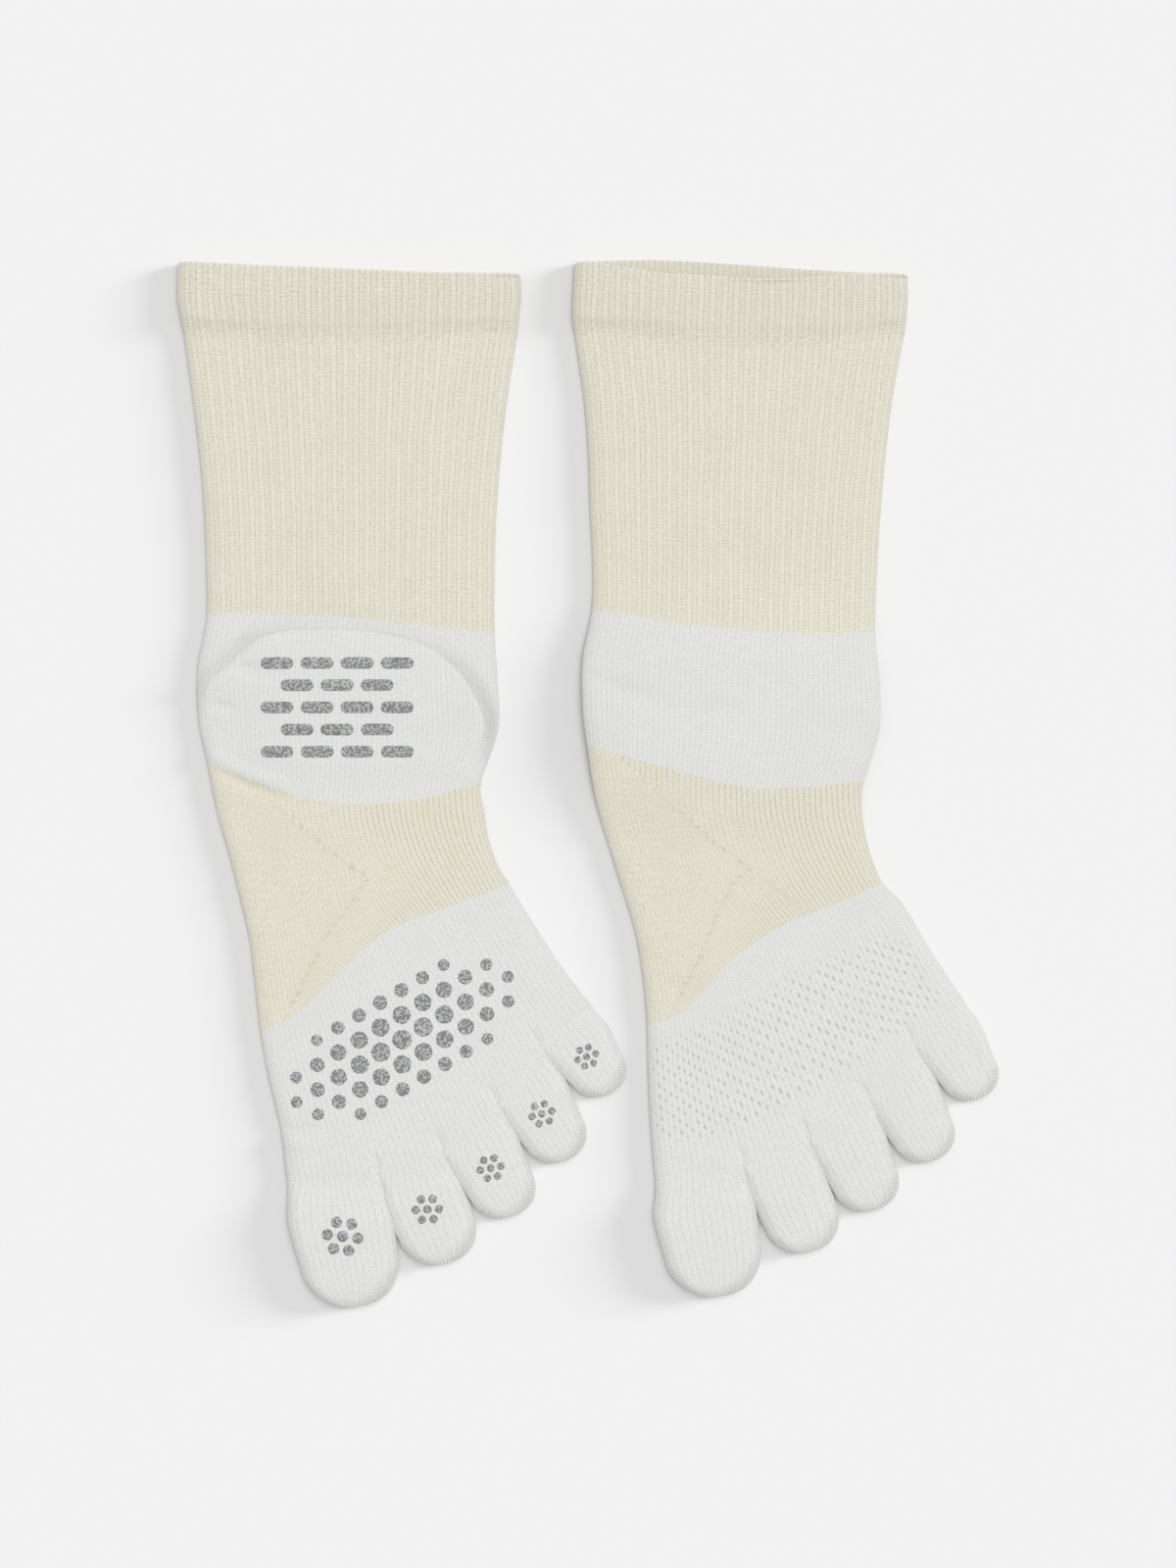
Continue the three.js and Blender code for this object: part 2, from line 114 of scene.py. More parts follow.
class Spline:
    """Curve through a short list of points, even in its spans: a Catmull-Rom curve."""

    def __init__(self, points: list[tuple[float, float]], samples: int = 40) -> None:
        """Measures the spans.

        Args:
            points: the points, x and down.
            samples: how finely each span is measured for its length.
        """
        self.points = np.array(points, float)
        self.spans = len(points) - 1
        steps = np.linspace(0.0, 1.0, self.spans * samples + 1)
        hops = np.linalg.norm(np.diff(self.at_span(steps), axis=0), axis=1)
        self.steps = steps
        self.lengths = np.concatenate([[0.0], np.cumsum(hops)])
        self.samples = samples

    def at_span(self, share: Array) -> Array:
        """Point at an even share of the spans.

        Each span from p1 to p2 is the cubic with end slopes half of p2 - p0 and of p3 - p1.

        Args:
            share: from 0 to 1, any shape.

        Returns:
            Points with x and down in the last axis.
        """
        place = np.clip(share, 0.0, 1.0) * self.spans
        index = np.minimum(place.astype(int), self.spans - 1)
        t = (place - index)[..., None]
        last = len(self.points) - 1
        p0, p1 = self.points[np.maximum(index - 1, 0)], self.points[index]
        p2, p3 = self.points[index + 1], self.points[np.minimum(index + 2, last)]
        slope1, slope2 = (p2 - p0) / 2, (p3 - p1) / 2
        cubic = 2 * p1 - 2 * p2 + slope1 + slope2
        square = -3 * p1 + 3 * p2 - 2 * slope1 - slope2
        return ((cubic * t + square) * t + slope1) * t + p1

    def at_length(self, share: Array) -> Array:
        """Point at a share of the curve's length, read from the measured lengths."""
        wanted = np.clip(share, 0.0, 1.0) * self.lengths[-1]
        return self.at_span(np.interp(wanted, self.lengths, self.steps))

    def share_of_point(self, number: int) -> float:
        """Share of the length at which the curve passes its own point of that number."""
        return float(self.lengths[number * self.samples] / self.lengths[-1])


class Facing(Enum):
    """Which side of a sock shows."""

    SOLE_UP = "sole_up"
    INSTEP_UP = "instep_up"


@dataclass(frozen=True)
class Toe:
    """Sizes of one toe tube: lean in degrees from straight down, the rest in millimetres.

    Bend is how far the tip lies to the right of the straight line that the toe starts on.
    """

    lean: float
    length: float
    belly: float
    end: float
    height: float
    bend: float = 0.0


@dataclass(frozen=True)
class Crease:
    """A soft ridge, or a trough where rise is negative, along a bent stroke on the upper layer."""

    start: tuple[float, float]
    bend: tuple[float, float]
    end: tuple[float, float]
    width: float
    rise: float


@dataclass(frozen=True)
class StretchSizes:
    """Sizes of one stretch of tube.

    Start and end are its heights over both layers at its sides, crown how much more it has in its
    middle, and seat the share of the height at which its side folds reach furthest out.
    """

    name: str
    start: float
    end: float
    crown: float
    wall: float
    rows: int
    columns: int
    ribbed: bool = False
    seat: float = SEAT


@dataclass(frozen=True)
class SockShape:
    """Outline of one sock: lines that cross it, the edges between them, its toes and its creases."""

    facing: Facing
    place: float
    mouth_dip: float
    lines: dict[str, list[tuple[float, float]]]
    left_edge: dict[str, list[tuple[float, float]]]
    right_edge: dict[str, list[tuple[float, float]]]
    toes: list[Toe]
    fashioning: list[tuple[float, float]]
    gore: list[tuple[float, float]] = field(default_factory=list)
    print_shift: tuple[float, float] = (0.0, 0.0)
    creases: list[Crease] = field(default_factory=list)


STRETCHES = [
    StretchSizes("cuff", 4.35, 4.6, 0.6, WELT_CLOTH, 14, 480, ribbed=True, seat=0.3),
    StretchSizes("leg", 3.0, 2.9, 1.4, CLOTH, 40, 480, ribbed=True),
    StretchSizes("ankle", 2.9, 2.9, 1.4, CLOTH, 50, 240),
    StretchSizes("arch", 2.9, 3.0, 1.4, CLOTH, 76, 300),
    StretchSizes("forefoot", 3.0, 3.6, 1.4, CLOTH, 90, 360),
]
CUFF, LEG, ANKLE, ARCH, FOREFOOT = range(5)

SOLE_UP_SOCK = SockShape(
    facing=Facing.SOLE_UP,
    place=-SOCK_SPACING / 2,
    mouth_dip=0.0,
    lines={
        "cuff": [(-49, 0.8), (-24, 2), (0, 3), (24, 4), (48.6, 4.2)],
        "leg": [(-47.7, 20.4), (-30, 22), (-8, 23.2), (20, 22.2), (47.8, 21)],
        "ankle": [(-41, 101.6), (-20, 101.6), (0, 102.4), (20, 104.6), (41.3, 107.2)],
        "arch": [(-41, 142.8), (-24.5, 149.8), (-3, 155.5), (20, 154), (37.4, 149.2)],
        "forefoot": [(-25.6, 220.6), (-14.7, 215), (-2.7, 203), (12, 191), (27, 185.2), (45.5, 178.4)],
        "toes": [(-18.3, 261.2), (8.5, 260.4), (26.5, 254), (42.1, 240.5), (54.2, 224), (68.7, 212.8)],
    },
    left_edge={
        "cuff": [(-49.2, 9.8), (-48.5, 15.4)],
        "leg": [(-45.2, 37.8), (-43.2, 54), (-41.8, 70), (-41.2, 86)],
        "ankle": [(-43.6, 117), (-43.4, 131)],
        "arch": [(-37.9, 158), (-34.3, 171), (-29.2, 191.8), (-27.3, 205.8)],
        "forefoot": [(-23.2, 233.8), (-19.8, 248.5)],
    },
    right_edge={
        "cuff": [(48.9, 9.8), (48.4, 15.4)],
        "leg": [(45.2, 37.8), (43.2, 54), (41.9, 71), (41.3, 88)],
        "ankle": [(42.1, 120), (42.3, 134)],
        "arch": [(38.2, 157), (39.6, 165.5), (42.2, 173)],
        "forefoot": [(52.5, 190), (61.4, 203.5)],
    },
    toes=[
        Toe(lean=8.5, length=38.6, belly=28.8, end=28, height=5.6, bend=1),
        Toe(lean=17.5, length=31, belly=21.9, end=22.6, height=5.2, bend=1),
        Toe(lean=26.5, length=28.5, belly=19.8, end=19.2, height=5.2, bend=0.2),
        Toe(lean=30.5, length=28.4, belly=19.3, end=18.2, height=5),
        Toe(lean=33.5, length=23.4, belly=18, end=16.6, height=4.8, bend=0.3),
    ],
    fashioning=[(-16.5, 158.5), (-4.6, 168.8), (5.7, 176.4), (0.1, 184.8), (-6.3, 193.2), (-14, 210.5)],
    gore=[(-43.8, 123), (-38.5, 119.4), (-32.5, 115.2)],
    creases=[
        Crease((8, 260.6), (7.6, 258), (7, 255), 1.1, -0.9),
        Crease((26.5, 254.4), (25.9, 252), (24.9, 249.4), 1.1, -0.9),
        Crease((42.1, 240.8), (41.2, 238.6), (39.8, 236.4), 1.1, -0.9),
        Crease((54.2, 224.2), (53.2, 222.2), (51.6, 220.4), 1.1, -0.9),
        Crease((-35, 115.4), (-28, 118), (-20.3, 117.6), 1.9, -1.3),
        Crease((-34.3, 112.8), (-31, 109.6), (-26, 107.6), 2.2, -0.9),
        Crease((-43, 124), (-38, 122), (-33, 117), 1.3, 0.6),
        Crease((-41, 127.5), (-37, 126.5), (-33, 128.5), 1.5, -0.7),
        Crease((-40, 141.2), (-31, 146.4), (-18, 150.6), 1.8, 0.8),
        Crease((-37.5, 146.6), (-30, 150.2), (-18, 154.2), 1.5, -0.9),
        Crease((-22, 247.2), (-15, 249.4), (-6, 248), 2.0, -0.7),
        Crease((-21, 252), (-15, 253), (-9, 251.5), 1.8, 0.4),
        Crease((53.5, 199), (57, 204.5), (60.5, 211), 3.0, -0.6),
        Crease((30, 219.5), (36, 214), (44, 211), 3.4, 0.35),
        Crease((33, 146), (37, 149), (39, 155), 2.2, 0.4),
        Crease((-27, 104.6), (2, 100.8), (24, 108.6), 2.6, -0.7),
        Crease((-12, 138), (2, 141), (18, 137), 3.4, -0.5),
    ],
)

INSTEP_UP_SOCK = SockShape(
    facing=Facing.INSTEP_UP,
    place=SOCK_SPACING / 2,
    mouth_dip=3.9,
    lines={
        "cuff": [(-47.5, 0.8), (-24, 0.3), (0, 1.6), (24, 3.3), (47.3, 4.4)],
        "leg": [(-47.8, 20.4), (-30, 22), (-8, 24), (20, 23.7), (46.6, 21)],
        "ankle": [(-42.7, 100), (-22, 103.6), (0, 106), (18, 107.2), (38.2, 106.6)],
        "arch": [(-44.1, 138.6), (-24, 144.5), (0, 150.6), (18, 150.6), (34.9, 149)],
        "forefoot": [(-27, 218.4), (-15.8, 214), (-4.6, 201.6), (10, 190.8), (26.2, 184.2), (40.3, 177.9)],
        "toes": [(-24.8, 261.8), (0.4, 257.9), (18.6, 250), (35.9, 238.8), (48.3, 222.6), (63.4, 211.4)],
    },
    left_edge={
        "cuff": [(-48, 9.8), (-48.2, 15.4)],
        "leg": [(-45.2, 37.8), (-43.8, 54), (-43.3, 70), (-42.5, 86)],
        "ankle": [(-45.3, 114), (-45.3, 128)],
        "arch": [(-41.5, 154.5), (-36.5, 172), (-30.6, 191), (-28, 205.8)],
        "forefoot": [(-26.6, 233.8), (-25.9, 247.8)],
    },
    right_edge={
        "cuff": [(47.5, 9.8), (47.2, 15.4)],
        "leg": [(43.5, 37.8), (41.4, 54), (39.9, 71), (38.8, 88)],
        "ankle": [(39.3, 120), (39.3, 134)],
        "arch": [(34.4, 156.5), (35.6, 165), (37.7, 172)],
        "forefoot": [(46.6, 184.8), (55, 198.8)],
    },
    toes=[
        Toe(lean=7, length=36.4, belly=28.2, end=27.6, height=5.6, bend=1),
        Toe(lean=19, length=31, belly=21, end=21.4, height=5.2, bend=0.7),
        Toe(lean=23.5, length=29, belly=19.8, end=19.2, height=5.2),
        Toe(lean=27.5, length=29.4, belly=19.2, end=18.2, height=5),
        Toe(lean=30, length=25.6, belly=18.4, end=16.8, height=4.8, bend=0.2),
    ],
    fashioning=[(-17.5, 156.8), (-7.4, 166), (2.4, 173.6), (-3.2, 180), (-7.4, 189.8), (-15.2, 208)],
    print_shift=(-6.0, 0.0),
    creases=[
        Crease((0.4, 258), (-0.1, 255.8), (-0.8, 253.4), 1.1, -0.9),
        Crease((18.6, 250.3), (17.8, 248), (16.9, 245.8), 1.1, -0.9),
        Crease((35.9, 239.1), (34.9, 236.9), (33.4, 234.6), 1.1, -0.9),
        Crease((48.3, 222.9), (47.4, 220.8), (46.2, 218.6), 1.1, -0.9),
        Crease((-43.5, 119.4), (-36, 122.2), (-26, 125.4), 2.4, -0.8),
        Crease((-30, 126), (-12, 130.5), (6, 128), 3.6, -0.35),
        Crease((20, 127), (29, 129.5), (37, 126), 3.2, 0.4),
        Crease((33.5, 131), (36.5, 136), (35.5, 142), 3.0, -0.6),
        Crease((-25.8, 261.5), (-17, 259.5), (-8, 259), 2.6, -0.3),
        Crease((64.5, 226), (67.5, 229), (68.5, 233), 2.4, -0.5),
        Crease((21, 272), (24.5, 275), (25.5, 278), 1.8, -0.5),
    ],
)


class SockPlan:
    """Plan of one sock: where a share across and a share along each stretch lies."""

    def __init__(self, shape: SockShape) -> None:
        """Makes curves of the sock's lines and edges.

        Args:
            shape: the sock's lines and edges.
        """
        self.shape = shape
        self.lines = [Spline(points) for points in shape.lines.values()]
        self.left, self.left_starts = self._edge(shape.left_edge, 0)
        self.right, self.right_starts = self._edge(shape.right_edge, -1)
        self.pocket_middle = self.point(ANKLE, *np.array(POCKET_MIDDLE))

    def _edge(self, edge: dict[str, list[tuple[float, float]]], end: int) -> tuple[Spline, list[int]]:
        """One edge of the whole tube as one curve.

        Args:
            edge: points between the lines, by stretch.
            end: 0 for the left end of each line, -1 for its right end.

        Returns:
            The curve, and the number of its point at which each stretch starts.
        """
        points: list[tuple[float, float]] = []
        starts: list[int] = []
        for name, line in self.shape.lines.items():
            starts.append(len(points))
            points.append(line[end])
            points.extend(edge.get(name, []))
        return Spline(points), starts

    def _ruled(self, index: int, across: Array, along: Array) -> Array:
        """Straight blend between the stretch's two lines."""
        upper = self.lines[index].at_length(across)
        return mix(upper, self.lines[index + 1].at_length(across), along[..., None])

    def point(self, index: int, across: Array, along: Array) -> Array:
        """Point of the plan: the ruled blend of the two lines, pulled out to the two edges.

        The pull is the edge less the blend's own end, shared out in proportion across the sock.

        Args:
            index: number of the stretch.
            across: share from the left edge to the right one.
            along: share from the stretch's first line to its second.

        Returns:
            Points with x and down in the last axis.
        """
        across, along = np.broadcast_arrays(np.asarray(across, float), np.asarray(along, float))
        pulls = []
        for curve, starts, side in ((self.left, self.left_starts, 0.0), (self.right, self.right_starts, 1.0)):
            share = mix(starts[index], starts[index + 1], along) / curve.spans
            pulls.append(curve.at_span(share) - self._ruled(index, np.full_like(across, side), along))
        return self._ruled(index, across, along) + mix(pulls[0], pulls[1], across[..., None])

    def width(self, index: int, along: Array) -> Array:
        """Straight distance between the two edges."""
        ends = self.point(index, np.array([0.0, 1.0]), np.asarray(along, float)[..., None])
        return np.linalg.norm(ends[..., 1, :] - ends[..., 0, :], axis=-1)

    def length(self, index: int) -> float:
        """Length of a stretch along its middle."""
        path = self.point(index, np.full(33, 0.5), np.linspace(0, 1, 33))
        return float(np.linalg.norm(np.diff(path, axis=0), axis=1).sum())

    def lift(self, flat: Array) -> Array:
        """How far a pocket folded beneath raises the tube: full over its middle, softly down to none.

        Args:
            flat: points with x and down in the last axis.

        Returns:
            Heights in millimetres.
        """
        if self.shape.facing is Facing.SOLE_UP:
            return np.zeros(flat.shape[:-1])
        across = (flat[..., 0] - self.pocket_middle[0]) / POCKET_REACH[0]
        along = (flat[..., 1] - self.pocket_middle[1]) / POCKET_REACH[1]
        return POCKET_LIFT * (1.0 - smooth(np.hypot(across, along), 0.6, 1.75))

    def relief(self, flat: Array) -> Array:
        """Creases and the slight waviness of hand-laid cloth.

        A crease is its rise times a bell curve of the distance from a bent stroke, faded at its ends. The
        gore's joined stitches are a bell curve across their line, times one plus a cosine along it. The
        waviness is a sum of three slow sine waves.

        Args:
            flat: points with x and down in the last axis.

        Returns:
            Heights in millimetres, some below zero.
        """
        x, down = flat[..., 0] + self.shape.place, flat[..., 1]
        waves = np.sin(0.21 * x + 0.07 * down) + np.sin(0.13 * down - 0.05 * x + 1.3)
        height = WAVE_HEIGHT * (waves + np.sin(0.33 * down + 0.19 * x + 2.1))
        for crease in self.shape.creases:
            height = height + self._crease_height(crease, flat)
        if self.shape.gore:
            far, length, _ = distance_to(np.array(self.shape.gore), flat)
            bumps = 0.6 + 0.4 * np.cos(2 * math.pi * length / GORE_PITCH)
            height = height + GORE_RISE * bumps * np.exp(-((far / GORE_WIDTH) ** 2))
        return height

    @staticmethod
    def _crease_height(crease: Crease, flat: Array) -> Array:
        """Height of one crease: the largest bell over points spaced along its stroke."""
        steps = np.linspace(0.0, 1.0, 25)
        start, bend, end = (np.array(p, float) for p in (crease.start, crease.bend, crease.end))
        stroke = [(1 - t) ** 2 * start + 2 * t * (1 - t) * bend + t**2 * end for t in steps]
        best = np.zeros(flat.shape[:-1])
        for t, spot in zip(steps, stroke):
            near = np.exp(-(((flat - spot) ** 2).sum(-1)) / crease.width**2)
            best = np.maximum(best, near * math.sin(math.pi * (0.08 + 0.84 * t)) ** 0.7)
        return crease.rise * best


def rounding(inset: Array, fold: Array) -> Array:
    """Quarter round: the root of one less the square of what the inset lacks of the fold's width."""
    return np.sqrt(1.0 - (1.0 - np.clip(inset / fold, 0.0, 1.0)) ** 2)


def section(
    turn: Array, width: Array, height: Array, fold: Array, crown: Array, offset: Array, seat: float = SEAT
) -> tuple[Array, Array]:
    """Section of a flattened tube: two flats joined by rounded folds that lie low on the surface.

    Turn goes from 0 at the left fold over the upper layer to 1 at the right fold, and back under the
    lower layer to 2. Round a fold the inset follows 1 - cosine and the height follows sine. Under the
    sock the fold is a tighter one.

    Args:
        turn: place round the section.
        width: distance between the outermost points of the folds.
        height: height over both layers.
        fold: width of a fold.
        crown: how much the upper layer bulges at mid width.
        offset: how far the surface is moved out, or in where negative.
        seat: share of the height that lies below the folds' outermost points.

    Returns:
        The share across, from 0 to 1, and the height over the surface below, in millimetres.
    """
    upper = turn <= 1.0
    share = np.where(upper, turn, 2.0 - turn)
    fold_length = math.pi * fold / 2
    fold_share = fold_length / (width - 2 * fold + 2 * fold_length)
    fold_in = np.maximum(np.where(upper, fold, LOW_FOLD_SHARE * fold) + offset, 0.25)
    from_edge = np.minimum(share, 1.0 - share)
    angle = np.clip(from_edge / fold_share, 0.0, 1.0) * (math.pi / 2)
    inset = -offset + fold_in * (1.0 - np.cos(angle))
    flat_share = np.clip((from_edge - fold_share) / (0.5 - fold_share), 0.0, 1.0)
    inset = inset + flat_share * (width / 2 - (fold_in - offset))
    rise = (np.where(upper, (1.0 - seat) * height, seat * height) + offset) * np.sin(angle)
    across = np.where(share < 0.5, inset / width, 1.0 - inset / width)
    z = seat * height + np.where(upper, rise + crown * np.sin(math.pi * share), -rise)
    return np.clip(across, 0.0, 1.0), z


def settle(ground: Callable[[Array, Array], Array], wanted: Array) -> tuple[Array, Array]:
    """Finds the two shares at which a ground's plan passes over wanted places, by Newton's method.

    Each turn measures the plan a small step on in both shares, solves the two by two slope for the
    step that closes the miss, and takes it.

    Args:
        ground: gives x and down for a share across and a share along.
        wanted: places with x and down in the last axis.

    Returns:
        The shares across and along.
    """
    step = 0.002
    across = np.full(wanted.shape[:-1], 0.5)
    along = np.full(wanted.shape[:-1], 0.5)
    for _ in range(7):
        here = ground(across, along)
        slope_across = (ground(across + step, along) - here) / step
        slope_along = (ground(across, along + step) - here) / step
        miss = wanted - here
        cross = slope_across[..., 0] * slope_along[..., 1] - slope_across[..., 1] * slope_along[..., 0]
        across = across + (miss[..., 0] * slope_along[..., 1] - miss[..., 1] * slope_along[..., 0]) / cross
        along = along + (slope_across[..., 0] * miss[..., 1] - slope_across[..., 1] * miss[..., 0]) / cross
    return across, along


def distance_to(line: Array, flat: Array) -> tuple[Array, Array, Array]:
    """Distance from a bent line, the length along it at the nearest point, and the side.

    For each straight piece the nearest point is the foot of the perpendicular, kept on the piece, and
    the nearest of all pieces counts. The side is the sign of the cross product there.

    Args:
        line: the line's points, x and down.
        flat: places with x and down in the last axis.

    Returns:
        Distance, length along the line and side, which is 1 to the right of the way the line runs.
    """
    best = np.full(flat.shape[:-1], np.inf)
    length = np.zeros(flat.shape[:-1])
    side = np.ones(flat.shape[:-1])
    passed = 0.0
    for start, end in zip(line[:-1], line[1:]):
        hop = end - start
        span = float(np.linalg.norm(hop))
        share = np.clip(((flat - start) @ hop) / span**2, 0.0, 1.0)
        away = flat - start - share[..., None] * hop
        far = np.linalg.norm(away, axis=-1)
        nearer = far < best
        turned = hop[0] * away[..., 1] - hop[1] * away[..., 0]
        best = np.where(nearer, far, best)
        length = np.where(nearer, passed + share * span, length)
        side = np.where(nearer, np.where(turned > 0, -1.0, 1.0), side)
        passed += span
    return best, length, side


def wales(turn: Array) -> Array:
    """Number of the wale at each turn, counted round the tube."""
    return turn * WALES_PER_LAYER


def rib_rise(turn: Array) -> Array:
    """Relief of 1x1 rib: every second wale stands up as a rounded ridge.

    The ridge is a raised cosine of the rib's phase to the power 0.8. Under the sock the ridges end
    at the surface that it lies on, so there the grooves are cut in instead.
    """
    phase = math.pi * (wales(turn) - 0.5)
    ridge = (0.5 - 0.5 * np.cos(phase)) ** 0.8
    return np.where(turn <= 1.0, RIB_HEIGHT * ridge, RIB_HEIGHT * (ridge - 1.0))


@dataclass
class Surface:
    """A grid of points with stitch counts and masks, turned into a mesh piece.

    Marks are a second map like the stitch counts: the count of marks along a line, and the distance
    from it plus MARK_LINE.
    """

    name: str
    points: Array
    stitches: Array
    closed_rows: bool = False
    pole_start: bool = False
    pole_end: bool = False
    sharp_rows: tuple[int, ...] = ()
    marks: Array | None = None
    masks: dict[str, Array] = field(default_factory=dict)

    def build(self) -> bpy.types.Object:
        """Makes the mesh: columns always close round, rows close too where the wall returns.

        Points has one column fewer than stitches, whose last column repeats the first a full turn on.
        A row that is a pole is written as one vertex with a fan of triangles.

        Returns:
            The new object, at the origin.
        """
        rows, columns = self.points.shape[:2]
        index = np.arange(rows * columns).reshape(rows, columns)
        if self.pole_start:
            index[0] = index[0, 0]
        if self.pole_end:
            index[-1] = index[-1, 0]
        index = np.concatenate([index, index[:, :1]], axis=1)
        lift = np.arange(rows)[:, None] + np.zeros(columns + 1, int)
        side = np.zeros(rows, int)[:, None] + np.arange(columns + 1)
        if self.closed_rows:
            index = np.concatenate([index, index[:1]])
            lift = np.concatenate([lift, lift[:1]])
            side = np.concatenate([side, side[:1]])
        corners = [(slice(None, -1), slice(None, -1)), (slice(1, None), slice(None, -1))]
        corners += [(slice(1, None), slice(1, None)), (slice(None, -1), slice(1, None))]
        faces = np.stack([index[c] for c in corners], axis=-1).reshape(-1, 4)
        where = np.stack([lift[c] * (columns + 1) + side[c] for c in corners], axis=-1).reshape(-1, 4)
        mesh = bpy.data.meshes.new(self.name)
        kept_faces, kept_where = self._faces(faces, where)
        used = np.unique(np.concatenate([np.array(f) for f in kept_faces]))
        renumber = np.full(rows * columns, -1)
        renumber[used] = np.arange(len(used))
        places = (self.points.reshape(-1, 3)[used] * MM).tolist()
        mesh.from_pydata(places, [], [renumber[list(f)].tolist() for f in kept_faces])
        corner_places = np.concatenate([np.array(w) for w in kept_where])
        marks = np.zeros_like(self.stitches) if self.marks is None else self.marks
        for name, values in (("stitches", self.stitches), ("marks", marks)):
            layer = mesh.uv_layers.new(name=name)
            layer.data.foreach_set("uv", values.reshape(-1, 2)[corner_places].astype(np.float32).ravel())
        for name, values in self.masks.items():
            attribute = mesh.attributes.new(name, "FLOAT", "POINT")
            attribute.data.foreach_set("value", values.reshape(-1)[used].astype(np.float32))
        mesh.shade_smooth()
        self._sharpen(mesh, used // columns)
        mesh.validate()
        piece = bpy.data.objects.new(self.name, mesh)
        bpy.context.scene.collection.objects.link(piece)
        return piece

    def _sharpen(self, mesh: bpy.types.Mesh, row_of: Array) -> None:
        """Marks the edges that run along the sharp rows, where the wall turns over at a rim.

        Args:
            mesh: the new mesh.
            row_of: grid row of each of its vertices.
        """
        ends = np.empty(len(mesh.edges) * 2, np.int32)
        mesh.edges.foreach_get("vertices", ends)
        rows = row_of[ends.reshape(-1, 2)]
        sharp = (rows[:, 0] == rows[:, 1]) & np.isin(rows[:, 0], self.sharp_rows)
        mesh.attributes.new("sharp_edge", "BOOLEAN", "EDGE").data.foreach_set("value", sharp)

    @staticmethod
    def _faces(faces: Array, where: Array) -> tuple[list[tuple[int, ...]], list[tuple[int, ...]]]:
        """Quads as they are, and triangles where a pole makes two corners one."""
        same_first = faces[:, 0] == faces[:, 3]
        same_last = faces[:, 1] == faces[:, 2]
        plain = ~(same_first | same_last)
        kept = [tuple(f) for f in faces[plain]]
        places = [tuple(w) for w in where[plain]]
        for mask, order in ((same_first, [0, 1, 2]), (same_last, [0, 1, 3])):
            kept += [tuple(f) for f in faces[mask][:, order]]
            places += [tuple(w) for w in where[mask][:, order]]
        return kept, places


class NodeMaker:
    """Short calls for wiring shader nodes."""

    def __init__(self, tree: bpy.types.NodeTree) -> None:
        """Starts on a node tree.

        Args:
            tree: the node tree that is filled.
        """
        self.tree = tree

    def add(self, kind: str, **values: object) -> bpy.types.Node:
        """A new node of a kind, with its properties set."""
        node = self.tree.nodes.new(kind)
        for name, value in values.items():
            setattr(node, name, value)
        return node

    def link(self, source: bpy.types.NodeSocket, target: bpy.types.NodeSocket) -> None:
        """Joins an output to an input."""
        self.tree.links.new(source, target)

    def math(self, operation: str, *inputs: object) -> bpy.types.NodeSocket:
        """A Math node: each input is a number or an output socket.

        Args:
            operation: Blender's name of the sum.
            *inputs: up to three numbers or sockets.

        Returns:
            The result's socket.
        """
        node = self.add("ShaderNodeMath", operation=operation)
        for socket, value in zip(node.inputs, inputs):
            if isinstance(value, (int, float)):
                socket.default_value = float(value)
            else:
                self.link(value, socket)
        return node.outputs[0]

    def mask(self, name: str) -> bpy.types.NodeSocket:
        """A mask that the mesh carries on its points."""
        return self.add("ShaderNodeAttribute", attribute_name=name).outputs["Fac"]

    def split(self, vector: object) -> tuple[bpy.types.NodeSocket, bpy.types.NodeSocket]:
        """First and second number of a vector."""
        node = self.add("ShaderNodeSeparateXYZ")
        self.link(vector, node.inputs[0])
        return node.outputs["X"], node.outputs["Y"]

    def join(
        self, first: object, second: object, scale_first: float, scale_second: float
    ) -> bpy.types.NodeSocket:
        """A vector of two numbers, each multiplied by its scale."""
        node = self.add("ShaderNodeCombineXYZ")
        self.link(self.math("MULTIPLY", first, scale_first), node.inputs["X"])
        self.link(self.math("MULTIPLY", second, scale_second), node.inputs["Y"])
        return node.outputs[0]

    def noise(self, vector: object, scale: float, detail: float) -> bpy.types.NodeSocket:
        """Value of a noise, from 0 to 1, mostly near a half."""
        node = self.add("ShaderNodeTexNoise")
        node.inputs["Scale"].default_value = scale
        node.inputs["Detail"].default_value = detail
        self.link(vector, node.inputs["Vector"])
        return node.outputs["Fac"]

    def step(self, value: object, low: float, high: float) -> bpy.types.NodeSocket:
        """Soft step of a socket from low to high, or down where high is below low."""
        node = self.add("ShaderNodeMapRange", interpolation_type="SMOOTHSTEP")
        start, end = (0.0, 1.0) if low < high else (1.0, 0.0)
        for name, number in (("From Min", min(low, high)), ("From Max", max(low, high))):
            node.inputs[name].default_value = number
        node.inputs["To Min"].default_value = start
        node.inputs["To Max"].default_value = end
        self.link(value, node.inputs["Value"])
        return node.outputs["Result"]

    def blend(self, share: object, first: object, second: object) -> bpy.types.NodeSocket:
        """Colour blend: each colour is a tuple or a socket."""
        node = self.add("ShaderNodeMix", data_type="RGBA")
        sockets = (node.inputs["Factor"], node.inputs[6], node.inputs[7])
        for socket, value in zip(sockets, (share, first, second)):
            if isinstance(value, (int, float)):
                socket.default_value = float(value)
            elif isinstance(value, tuple):
                socket.default_value = (*value, 1.0)
            else:
                self.link(value, socket)
        return node.outputs[2]

    def bump(self, height: object, strength: float, distance: float) -> bpy.types.NodeSocket:
        """A normal bent by a height, which is as deep as distance in metres at full strength."""
        node = self.add("ShaderNodeBump")
        node.inputs["Strength"].default_value = strength
        node.inputs["Distance"].default_value = distance
        self.link(height, node.inputs["Height"])
        return node.outputs[0]


